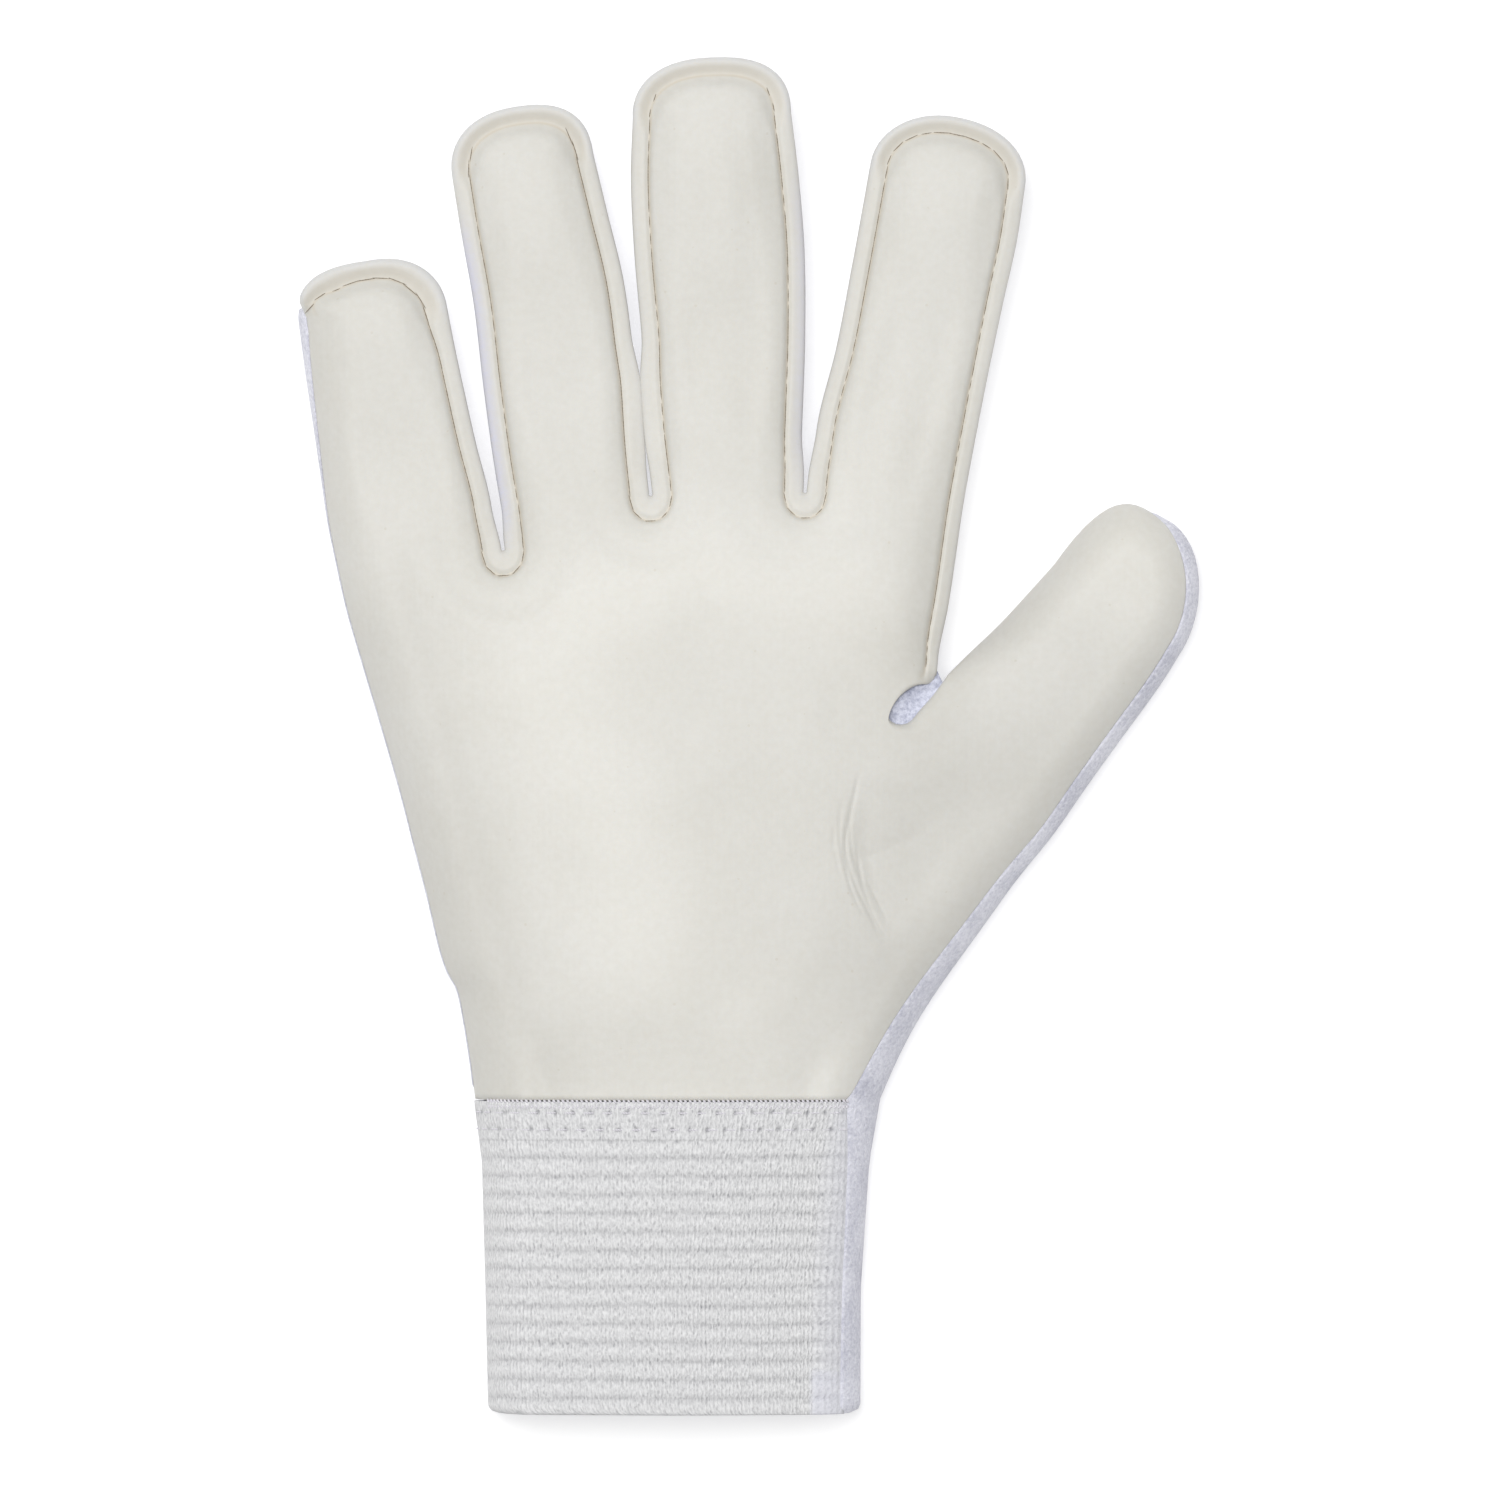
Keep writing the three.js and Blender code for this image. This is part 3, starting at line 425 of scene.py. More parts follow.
def setSeams():
    seam = np.full(len(outline.edge), seamStyle["side"])
    lip = np.full(len(outline.edge), seamStyle["lip"])
    outline.tipShare = np.max([nearZone(f"{name}_tip", 4) for name in fingerNames], axis=0)
    outline.close = np.zeros(len(outline.edge))
    outline.slack = np.max([nearZone(f"crotch_{i}", 24) for i in range(3)], axis=0)
    for zone, (hold, fade) in closing.items():
        near = nearZone(zone, fade, hold)
        seam += (seamStyle["closed"] - seamStyle["side"]) * near
        outline.close += seamStyle["close"] * near
        if zone == "crotch_1":
            outline.close += seamStyle["touch"] * near * (1 - nearZone(zone, 6, 4))
        ids = outline.of(zone)
        below = np.clip(-outline.inward[ids, 1], 0, 1) ** 2
        seam[ids] = mix(seamStyle["closed"], seamStyle["crotch"], below)
    outline.tight = 1 + seamStyle["tightRoll"] * nearZone("thumb_crotch", 16)
    places = np.arange(len(outline.edge))
    _, cut, last = slitStations
    outline.flat = smooth((places - cut + 2) / 4) * smooth((last + 14 - places) / 16)
    side = outline.of("index_right")
    length = outline.along[side]
    fade = smooth((length - length[0]) / np.ptp(length) * 1.1)
    seam[side] = mix(seamStyle["side"], seamStyle["indexFoot"], fade)
    seam[side[-1]:cut + 3] = seamStyle["indexFoot"]
    tip, below = outline.of("little_tip"), outline.of("little_right")[:10]
    seam[tip] += np.interp(np.linspace(0, 1, len(tip)), *np.array(littleSeam).T)
    seam[below] += littleSeam[-1][1] * (1 - smooth(np.arange(1, 11) / 10))
    outline.lip = lip * np.minimum(1, seam / 3.0)
    outline.seam = seam


setSeams()


def liftAt(xy):
    start = gloveShape["liftStart"] * gloveLength
    rise = np.clip((xy[..., 1] - start) / (gloveLength - start), 0, 1)
    return gloveShape["tipLift"] * rise ** 2


def distanceTo(xy, line):
    a, run = line[:-1], np.diff(line, axis=0)
    size = np.maximum((run ** 2).sum(1), 1e-9)
    best = np.full(len(xy), np.inf)
    for start in range(0, len(xy), 2000):
        part = xy[start:start + 2000]
        share = np.clip(((part[:, None] - a) * run).sum(2) / size, 0, 1)
        near = a + share[..., None] * run
        best[start:start + 2000] = np.linalg.norm(part[:, None] - near, axis=2).min(1)
    return best


def distanceIn(xy):
    return distanceTo(xy, outline.edge)


def insideOf(points, ring):
    # even-odd rule, one ring edge at a time
    x, y = points[:, 0], points[:, 1]
    inside = np.zeros(len(points), bool)
    for (x0, y0), (x1, y1) in zip(ring, np.roll(ring, -1, axis=0)):
        if y0 != y1:
            crosses = (y0 > y) != (y1 > y)
            inside ^= crosses & (x < x0 + (y - y0) * (x1 - x0) / (y1 - y0))
    return inside


fullStyle = {
    "step": 1.5,  # raster pitch
    "below": 40.0,  # the swelling runs on past the open hem
    "rounds": 2400,
    "power": 0.8,  # less makes the swelling flatter on top
    "even": 6,  # last rounds that even it out
    "bridges": {"crotch_0": 6.0, "crotch_1": 6.5, "crotch_2": 6.5, "thumb_crotch": 9.0},
}


def makeFullness():
    # a raster of the glove's inside that swells like a balloon, open at the hem
    step = fullStyle["step"]
    low, high = outline.edge.min(0) - 3 * step, outline.edge.max(0) + 3 * step
    low[1] -= fullStyle["below"]
    x, y = np.arange(low[0], high[0], step), np.arange(low[1], high[1], step)
    points = np.stack(np.meshgrid(x, y), -1).reshape(-1, 2)
    left, right = outline.edge[0], outline.edge[-1]
    down = np.array([0, fullStyle["below"]])
    inside = insideOf(points, np.concatenate([outline.edge, [right - down, left - down]]))
    for zone, reach in fullStyle["bridges"].items():
        middle = outline.edge[outline.of(zone)].mean(0)
        inside |= np.linalg.norm(points - middle, axis=1) < reach
    inside = inside.reshape(len(y), len(x)).astype(float)

    def spread(field):
        return (np.roll(field, 1, 0) + np.roll(field, -1, 0)
                + np.roll(field, 1, 1) + np.roll(field, -1, 1)) / 4

    field = inside * 0
    for _ in range(fullStyle["rounds"]):
        field = inside * (spread(field) + 1)
    field = (field / field.max()) ** fullStyle["power"]
    for _ in range(fullStyle["even"]):
        field = 0.5 * (field + spread(field))
    return low, field / field.max()


def fullnessAt(xy):
    low, field = fullField
    at = (xy - low) / fullStyle["step"]
    cell = np.clip(np.floor(at).astype(int), 0, np.array(field.shape)[::-1] - 2)
    (u, v), (i, j) = (at - cell).T, cell.T
    return gloveShape["fullness"] * ((field[j, i] * (1 - u) + field[j, i + 1] * u) * (1 - v)
                                     + (field[j + 1, i] * (1 - u) + field[j + 1, i + 1] * u) * v)


fullField = makeFullness()


def noiseAt(xy, size, shift=0.0):
    return np.array([noise.noise(Vector((x / size, y / size, shift))) for x, y in xy])


def sideTop(depth):
    rise = heights["sideDrop"] + heights["foam"] + heights["crown"]
    return heights["seam"] - heights["sideDrop"] + rise * quarterRound(depth / shoulderEnd)


def underSide(depth, thickness):
    slope = (sideTop(depth + 0.01) - sideTop(depth)) / 0.01
    size = thickness / np.hypot(1, slope)
    return depth + size * slope, sideTop(depth) - size


# Panels: an edge strip that follows the outline, then an even net of points inside it

def ladder(ids, faces, upward):
    a, b, c, d = ids[:-1, :-1], ids[:-1, 1:], ids[1:, 1:], ids[1:, :-1]
    order = (a, b, c, d) if upward else (a, d, c, b)
    quads = np.stack([part.ravel() for part in order], 1)
    pinched = (quads == np.roll(quads, 1, axis=1)).any(axis=1)
    faces.extend(quads[~pinched].tolist())
    faces.extend([list(dict.fromkeys(quad)) for quad in quads[pinched].tolist()])


def fillNet(closed, pitch, finePlaces=None):
    # triangles over an even net of points inside the closed line, whose points come first
    low, high = closed.min(0), closed.max(0)

    def grid(step):
        return np.stack(np.meshgrid(np.arange(low[0], high[0], step),
                                    np.arange(low[1], high[1], step)), -1).reshape(-1, 2)

    net = grid(pitch)
    if finePlaces:
        dense = grid(pitch / 3)
        net = np.concatenate([net[~finePlaces(net)], dense[finePlaces(dense)]])
    net = net[insideOf(net, closed)]
    net = net[distanceTo(net, np.concatenate([closed, closed[:1]])) > 0.6 * pitch]
    points = np.concatenate([closed, net])
    made = delaunay_2d_cdt([Vector(xy) for xy in points], [], [list(range(len(closed)))], 1, 1e-7)
    source = np.array([origin[0] for origin in made[3]])
    return points, source[np.array(made[2])]


class Surface:
    # one side of a panel: rows from the outline inwards, then an even net inside the last row

    def __init__(self, first, last, depth, z, upward, pitch, finePlaces=None):
        stations = np.arange(first, last + 1)
        place = (outline.edge[stations][:, None]
                 + depth[..., None] * outline.inward[stations][:, None])
        self.strip = np.arange(depth.size).reshape(depth.shape)
        self.faces = []
        ladder(self.strip, self.faces, upward)
        border = place[:, -1]
        steps = max(int(np.linalg.norm(border[0] - border[-1]) / pitch), 2)
        share = np.arange(1, steps)[:, None] / steps
        closed = np.concatenate([border, mix(border[-1], border[0], share)])
        points, triangles = fillNet(closed, pitch, finePlaces)
        # the net's first points are the strip's last column
        ids = np.concatenate([self.strip[:, -1],
                              depth.size + np.arange(len(points) - len(border))])
        self.triangles = ids[triangles]
        self.faces.extend((self.triangles if upward else self.triangles[:, ::-1]).tolist())
        self.foot = np.concatenate([ids[:1], ids[len(border):len(closed)][::-1],
                                    ids[len(border) - 1:len(border)]])
        self.xy = np.concatenate([place.reshape(-1, 2), points[len(border):]])
        self.count = len(self.xy)
        self.inside = np.zeros(self.count, bool)
        self.inside[depth.size:] = True
        self.z = np.concatenate([z.ravel(), np.zeros(self.count - depth.size)])
        self.z += liftAt(self.xy)

    def soften(self, values, rounds):
        # evens out values inside the net, the strip's own stay
        a = self.triangles.ravel()
        b = np.roll(self.triangles, -1, axis=1).ravel()
        both, other = np.concatenate([a, b]), np.concatenate([b, a])
        weight = np.maximum(np.bincount(both, minlength=self.count), 1)
        for _ in range(rounds):
            near = np.bincount(both, values[other], minlength=self.count) / weight
            values = np.where(self.inside, 0.5 * (values + near), values)
        return values

    def setHeights(self, base, extra):
        self.z = self.z + extra + base * self.inside


def panelMesh(upper, lower):
    # joins an upper and a lower surface along the outline and at the flat end
    points = np.concatenate([np.column_stack([s.xy, s.z]) for s in (upper, lower)])
    shift = upper.count
    faces = upper.faces + [[i + shift for i in face] for face in lower.faces]
    a, b = upper.strip[:, 0], lower.strip[:, 0] + shift
    faces += np.stack([a[:-1], a[1:], b[1:], b[:-1]], 1).tolist()
    above = np.concatenate([upper.strip[0, :-1], upper.foot, upper.strip[-1, :-1][::-1]])
    below = np.concatenate([lower.strip[0, :-1], lower.foot, lower.strip[-1, :-1][::-1]]) + shift
    faces.append(np.concatenate([below, above[::-1]]).tolist())
    return points, faces


def addObject(name, data):
    made = bpy.data.objects.new(name, data)
    bpy.context.collection.objects.link(made)
    return made


def placedMesh(name, points, edges, faces):
    # from millimetres at the outline's zero to metres in the frame
    mesh = bpy.data.meshes.new(name)
    place = np.array([*gloveShape["place"], 0.0])
    mesh.from_pydata(((points + place) * 0.001).tolist(), edges, faces)
    return mesh


def makePiece(name, points, faces, material):
    mesh = placedMesh(name, points, [], faces)
    mesh.polygons.foreach_set("use_smooth", [True] * len(mesh.polygons))
    mesh.materials.append(material)
    mesh.update()
    return addObject(name, mesh)


def addAttribute(piece, name, values):
    attribute = piece.data.attributes.new(name, "FLOAT", "POINT")
    attribute.data.foreach_set("value", np.asarray(values, np.float32))


# Materials, all procedural, patterns in metres on Object coordinates

def startMaterial(name):
    material = bpy.data.materials.new(name)
    material.use_nodes = True
    tree = material.node_tree
    shader = tree.nodes["Principled BSDF"]
    coordinates = tree.nodes.new("ShaderNodeTexCoord")
    return material, tree, shader, coordinates.outputs["Object"]


def addNode(tree, kind, inputs=(), **settings):
    node = tree.nodes.new(kind)
    for key, value in settings.items():
        setattr(node, key, value)
    for key, value in dict(inputs).items():
        if isinstance(value, bpy.types.NodeSocket):
            tree.links.new(value, node.inputs[key])
        else:
            node.inputs[key].default_value = value
    return node


def attributeNode(tree, name):
    return addNode(tree, "ShaderNodeAttribute", attribute_name=name).outputs["Fac"]


def noiseNode(tree, vector, scale, detail=3.0, roughness=0.5):
    return addNode(tree, "ShaderNodeTexNoise", {
        "Vector": vector, "Scale": scale, "Detail": detail, "Roughness": roughness,
    }).outputs["Fac"]


def rampNode(tree, factor, stops):
    node = addNode(tree, "ShaderNodeValToRGB", {"Fac": factor})
    elements = node.color_ramp.elements
    while len(elements) < len(stops):
        elements.new(0.5)
    for element, (position, colour) in zip(elements, stops):
        element.position = position
        element.color = (*colour, 1)
    return node.outputs["Color"]


def mixColour(tree, a, b, factor, blend="MIX"):
    node = addNode(tree, "ShaderNodeMix", data_type="RGBA", blend_type=blend)
    for index, value in ((0, factor), (6, a), (7, b)):
        if isinstance(value, bpy.types.NodeSocket):
            tree.links.new(value, node.inputs[index])
        else:
            node.inputs[index].default_value = value if index == 0 else (*value, 1)
    return node.outputs[2]


def mathNode(tree, operation, a, b=0.0, c=0.0):
    node = addNode(tree, "ShaderNodeMath", operation=operation)
    for index, value in enumerate((a, b, c)):
        if isinstance(value, bpy.types.NodeSocket):
            tree.links.new(value, node.inputs[index])
        else:
            node.inputs[index].default_value = value
    return node.outputs[0]


def bumpNode(tree, height, distance, strength, normal=None):
    inputs = {"Height": height, "Distance": distance, "Strength": strength}
    if normal:
        inputs["Normal"] = normal
    return addNode(tree, "ShaderNodeBump", inputs).outputs["Normal"]


latexFinish = {
    "light": (0.695, 0.685, 0.645),
    "dark": (0.65, 0.638, 0.592),
    "speck": (0.56, 0.52, 0.43),
    # painted shade for the seam's groove and for the valley inside it at the tips
    "seamPaintedShade": (0.58, 0.52, 0.42),
    "cutEdge": (0.66, 0.66, 0.655),
    "lilac": (0.62, 0.62, 0.71),
    "roughness": 0.56,
    "pore": 0.0006,
}


def makeLatex():
    material, tree, shader, place = startMaterial("creamLatex")
    cloudy = noiseNode(tree, place, 45, 4)
    colour = rampNode(tree, cloudy, [(0.3, latexFinish["dark"]), (0.7, latexFinish["light"])])
    fine = noiseNode(tree, place, 900, 2)
    fineTint = rampNode(tree, fine, [(0.3, (0.965, 0.96, 0.95)), (0.7, (1, 1, 1))])
    colour = mixColour(tree, colour, fineTint, 1.0, "MULTIPLY")
    specks = addNode(tree, "ShaderNodeTexVoronoi", {"Vector": place, "Scale": 420.0})
    isSpeck = mathNode(tree, "LESS_THAN", specks.outputs["Distance"], 0.1)
    rare = mathNode(tree, "GREATER_THAN", noiseNode(tree, place, 260, 1), 0.6)
    colour = mixColour(tree, colour, latexFinish["speck"],
                       mathNode(tree, "MULTIPLY", mathNode(tree, "MULTIPLY", isSpeck, rare), 0.35))
    # painted shade: the foam is darker and yellower along the seam's groove and over the valley inside
    # the seam at the fingertips
    seam = attributeNode(tree, "seamPaintedShade")
    colour = mixColour(tree, colour, latexFinish["seamPaintedShade"], mathNode(tree, "MULTIPLY", seam, 0.8))
    cut = attributeNode(tree, "cutEdge")
    rag = mathNode(tree, "MULTIPLY", cut, noiseNode(tree, place, 1500, 3, 0.7))
    colour = mixColour(tree, colour, latexFinish["cutEdge"], mathNode(tree, "MULTIPLY", rag, 1.6))
    lilac = attributeNode(tree, "lilacEdge")
    lilac = mathNode(tree, "MULTIPLY", lilac, mathNode(tree, "ADD", fine, 0.35))
    colour = mixColour(tree, colour, latexFinish["lilac"], lilac)
    # broad patches of painted highlight and painted shade, lighter or darker than the rest
    tone = attributeNode(tree, "tone")
    paintedLightScale = addNode(tree, "ShaderNodeVectorMath", operation="SCALE")
    tree.links.new(colour, paintedLightScale.inputs[0])
    tree.links.new(mathNode(tree, "ADD", tone, 1.0), paintedLightScale.inputs["Scale"])
    tree.links.new(paintedLightScale.outputs[0], shader.inputs["Base Color"])
    pores = noiseNode(tree, place, 1 / latexFinish["pore"], 2, 0.6)
    rough = mathNode(tree, "MULTIPLY_ADD", cloudy, 0.16, latexFinish["roughness"] - 0.08)
    tree.links.new(rough, shader.inputs["Roughness"])
    wave = addNode(tree, "ShaderNodeTexWave", {
        "Vector": place, "Scale": 320.0, "Distortion": 1.5, "Detail": 1.0, "Detail Scale": 2.0,
    }, bands_direction="X")
    backing = bumpNode(tree, wave.outputs["Fac"], 0.00004, 0.12)
    skin = bumpNode(tree, pores, 0.00008, 0.2, backing)
    soft = bumpNode(tree, noiseNode(tree, place, 160, 3), 0.0004, 0.16, skin)
    tree.links.new(soft, shader.inputs["Normal"])
    shader.inputs["Specular IOR Level"].default_value = 0.45
    shader.inputs["Subsurface Weight"].default_value = 0.06
    shader.inputs["Subsurface Radius"].default_value = (0.004, 0.003, 0.002)
    shader.inputs["Sheen Weight"].default_value = 0.05
    return material


textileFinish = {
    "light": (0.85, 0.853, 0.93),
    "dark": (0.54, 0.545, 0.64),
    "fuzz": 0.0007,
    "yarn": 0.0009,
}


def makeTextile(name, light, dark):
    material, tree, shader, place = startMaterial(name)
    cloudy = noiseNode(tree, place, 140, 4)
    fuzz = noiseNode(tree, place, 1 / textileFinish["fuzz"], 4, 0.7)
    colour = rampNode(tree, mathNode(tree, "MULTIPLY_ADD", fuzz, 0.6,
                                     mathNode(tree, "MULTIPLY", cloudy, 0.4)),
                      [(0.36, dark), (0.6, light)])
    yarns = []
    for direction in ("X", "Y"):
        yarns.append(addNode(tree, "ShaderNodeTexWave", {
            "Vector": place, "Scale": 0.314 / textileFinish["yarn"], "Distortion": 7.0,
            "Detail": 2.0, "Detail Scale": 2.0,
        }, bands_direction=direction).outputs["Fac"])
    weave = mathNode(tree, "MULTIPLY", yarns[0], yarns[1])
    shade = rampNode(tree, weave, [(0.0, (0.94, 0.94, 0.95)), (0.5, (1, 1, 1))])
    tree.links.new(mixColour(tree, colour, shade, 1.0, "MULTIPLY"), shader.inputs["Base Color"])
    bump = bumpNode(tree, weave, 0.00015, 0.5)
    tree.links.new(bumpNode(tree, fuzz, 0.0003, 0.7, bump), shader.inputs["Normal"])
    shader.inputs["Roughness"].default_value = 0.9
    shader.inputs["Sheen Weight"].default_value = 0.35
    shader.inputs["Sheen Roughness"].default_value = 0.5
    shader.inputs["Specular IOR Level"].default_value = 0.2
    return material


knitFinish = {
    "light": (0.82, 0.82, 0.825),
    "dark": (0.53, 0.53, 0.54),
    # painted shade for the gaps between the loops and for the needle holes
    "hole": (0.24, 0.24, 0.27),
    "side": (0.74, 0.745, 0.83),
    "loop": 0.00074,
}


def makeKnit():
    material, tree, shader, place = startMaterial("whiteElasticKnit")
    uv = addNode(tree, "ShaderNodeUVMap", uv_map="knit").outputs["UV"]
    ribs = attributeNode(tree, "ribTop")
    side = attributeNode(tree, "sideTint")
    stretched = addNode(tree, "ShaderNodeVectorMath", operation="MULTIPLY")
    tree.links.new(uv, stretched.inputs[0])
    stretched.inputs[1].default_value = (1.0, 0.5, 1.0)
    fibres = noiseNode(tree, stretched.outputs[0], 2300, 2, 0.6)
    patchy = noiseNode(tree, place, 260, 3)
    wales = addNode(tree, "ShaderNodeTexWave", {
        "Vector": uv, "Scale": 0.314 / knitFinish["loop"], "Distortion": 4.0, "Detail": 2.0,
        "Detail Scale": 3.0,
    }, bands_direction="X").outputs["Fac"]
    # painted shade: small gaps between the loops go dark, clearer in some places than in others
    gaps = addNode(tree, "ShaderNodeTexVoronoi", {"Vector": stretched.outputs[0], "Scale": 1500.0})
    gap = mathNode(tree, "LESS_THAN", gaps.outputs["Distance"], 0.27)
    gap = mathNode(tree, "MULTIPLY", gap, mathNode(tree, "GREATER_THAN", patchy, 0.47))
    loops = mathNode(tree, "MULTIPLY_ADD", wales, 0.5, mathNode(tree, "MULTIPLY", fibres, 0.5))
    # painted shade: the knit is darker in the grooves between the ribs and in the needle holes, lighter
    # on the rib tops
    tone = mathNode(tree, "MULTIPLY_ADD", ribs, 0.2, mathNode(tree, "MULTIPLY", wales, 0.1))
    tone = mathNode(tree, "MULTIPLY_ADD", fibres, 0.9, tone)
    tone = mathNode(tree, "MULTIPLY_ADD", patchy, 0.15, tone)
    tone = mathNode(tree, "MULTIPLY_ADD", gap, -0.16, tone)
    colour = rampNode(tree, tone, [(0.1, knitFinish["hole"]), (0.5, knitFinish["dark"]),
                                   (0.9, knitFinish["light"])])
    colour = mixColour(tree, colour, knitFinish["side"], mathNode(tree, "MULTIPLY", side, 0.6))
    tree.links.new(colour, shader.inputs["Base Color"])
    bump = bumpNode(tree, loops, 0.0003, 0.6)
    tree.links.new(bumpNode(tree, fibres, 0.0002, 0.5, bump), shader.inputs["Normal"])
    shader.inputs["Roughness"].default_value = 0.92
    shader.inputs["Sheen Weight"].default_value = 0.3
    shader.inputs["Specular IOR Level"].default_value = 0.2
    return material


def makeThread(name, light, dark):
    material, tree, shader, place = startMaterial(name)
    twist = addNode(tree, "ShaderNodeTexWave", {
        "Vector": place, "Scale": 1200.0, "Distortion": 1.0}, bands_direction="DIAGONAL")
    tree.links.new(rampNode(tree, twist.outputs["Fac"], [(0.1, dark), (0.8, light)]),
                   shader.inputs["Base Color"])
    tree.links.new(bumpNode(tree, twist.outputs["Fac"], 0.0001, 0.6), shader.inputs["Normal"])
    shader.inputs["Roughness"].default_value = 0.6
    shader.inputs["Sheen Weight"].default_value = 0.2
    return material


latex = makeLatex()
textile = makeTextile("lilacTextile", textileFinish["light"], textileFinish["dark"])
paleTextile = makeTextile("paleTextile", (0.80, 0.79, 0.80), (0.66, 0.65, 0.66))
greyTextile = makeTextile("greyLilacTextile", (0.74, 0.76, 0.88), (0.33, 0.35, 0.46))
knit = makeKnit()
ochreThread = makeThread("ochreThread", (0.26, 0.21, 0.15), (0.15, 0.12, 0.08))
paleThread = makeThread("paleLilacThread", (0.80, 0.78, 0.82), (0.62, 0.60, 0.66))
print("materials made")


# Foam palm

foamStyle = {
    "lipDrop": 0.6,
    "groove": (0.55, 0.9),  # depth at the sides and at the tips
    "valley": (0.16, 0.5),  # how far the groove spreads, as a share of the pad's edge
    "pucker": 0.06,
    "puckerPitch": 2.6,
    "softWaves": 0.4,
    "fingerWave": 1.0,
    "ballDrop": 1.9,  # the ball of the thumb falls away beside the creases
    "footDrop": 1.3,  # and the palm dips where the cuff is sewn on
}

# creases beside the ball of the thumb run along one path, offset to its left and right
creasePath = [(30.6, 110.0), (28.9, 101.5), (28.3, 95.5), (29.3, 89.5), (31.6, 83.5), (34.6, 77.5)]
# offset, from, to, depth, width
creases = [
    (-2.3, 0.30, 0.52, 0.07, 0.22), (-1.8, 0.34, 0.66, 0.10, 0.24), (-1.2, 0.20, 0.72, 0.14, 0.26),
    (-0.5, 0.30, 0.84, 0.18, 0.25), (0.1, 0.02, 0.95, 0.22, 0.28), (0.7, 0.24, 0.62, 0.18, 0.24),
    (1.2, 0.46, 0.98, 0.17, 0.26), (1.7, 0.36, 0.70, 0.10, 0.22), (2.2, 0.60, 0.92, 0.12, 0.25),
]
# broad swells that follow a path: height, half width, path
swells = [
    (1.5, 16.0, [(-38, 136), (-20, 114), (-10, 90), (-6, 58)]),
    (0.7, 10.0, [(-56, 128), (-25, 137), (5, 140), (34, 132)]),
]
# textile tint on the flange's outer half: from, to, strength, as shares from tip to crotch
tintedEdges = {"ring_left": (0.25, 0.85, 0.9), "middle_right": (0.3, 0.85, 0.5)}
# broad patches of painted highlight and painted shade: lighter or darker by this share, half width, path
paintedLightPatches = [
    (0.08, 15.0, [(-26, 120), (-20, 110), (-14, 96), (-8, 84)]),
    (0.08, 10.0, [(-14, 136), (4, 140), (27, 134)]),
    (0.05, 8.0, [(31, 152), (28, 142)]),
    (-0.04, 12.0, [(-47, 120), (-41, 100), (-36, 80), (-32, 62)]),
    (-0.06, 13.0, [(44, 104), (38, 92), (34, 76)]),
    (-0.05, 12.0, [(58, 112), (66, 126)]),
    (0.06, 9.0, [(74, 138), (79, 146)]),
    (0.05, 12.0, [(-6, 66), (14, 60)]),
]


def alongPath(xy, path):
    # share along the path and signed distance to its right, path running down
    best = np.full(len(xy), np.inf)
    share, side = np.zeros(len(xy)), np.zeros(len(xy))
    steps = len(path) - 1
    for i in range(steps):
        run = path[i + 1] - path[i]
        t = np.clip(((xy - path[i]) @ run) / (run @ run), 0, 1)
        away = xy - (path[i] + t[:, None] * run)
        size = np.linalg.norm(away, axis=1)
        nearer = size < best
        sign = np.sign(away[:, 1] * run[0] - away[:, 0] * run[1])
        best = np.where(nearer, size, best)
        share = np.where(nearer, (i + t) / steps, share)
        side = np.where(nearer, sign * size, side)
    return share, side


def nearCreases(xy):
    (left, bottom), (right, top) = np.min(creasePath, axis=0), np.max(creasePath, axis=0)
    return ((xy[:, 0] > left - 3.5) & (xy[:, 0] < right + 4)
            & (xy[:, 1] > bottom - 1) & (xy[:, 1] < top + 1))


def foamForms(xy):
    # the creases, the ball of the thumb and the dip at the cuff
    share, side = alongPath(xy, curveThrough(creasePath, 30))
    total = np.zeros(len(xy))
    for offset, start, end, depth, width in creases:
        wander = offset + 0.3 * np.sin(9 * share + 3 * offset)
        span = smooth((share - start) / 0.12) * smooth((end - share) / 0.12)
        total -= depth * span * np.exp(-((side - wander) / width) ** 2)
    reach = smooth((side + 1.5) / 5) * (1 - smooth((side - 6) / 26))
    height = smooth((xy[:, 1] - 52) / 26) * (1 - smooth((xy[:, 1] - 84) / 34))
    for rise, width, path in swells:
        part, away = alongPath(xy, curveThrough(path, 20))
        total += rise * np.exp(-(away / width) ** 2) * smooth(part / 0.3) * smooth((1 - part) / 0.3)
    total -= foamStyle["ballDrop"] * reach * height * smooth((distanceIn(xy) - 3) / 28)
    total -= foamStyle["footDrop"] * (1 - smooth((xy[:, 1] - 52) / 20)) ** 1.5
    return total


def foamEdge(stations):
    # how far in the foam's cut edge lies, less where two flanges lean together
    return (outline.lip[stations] - 0.9 * outline.close[stations])[:, None]


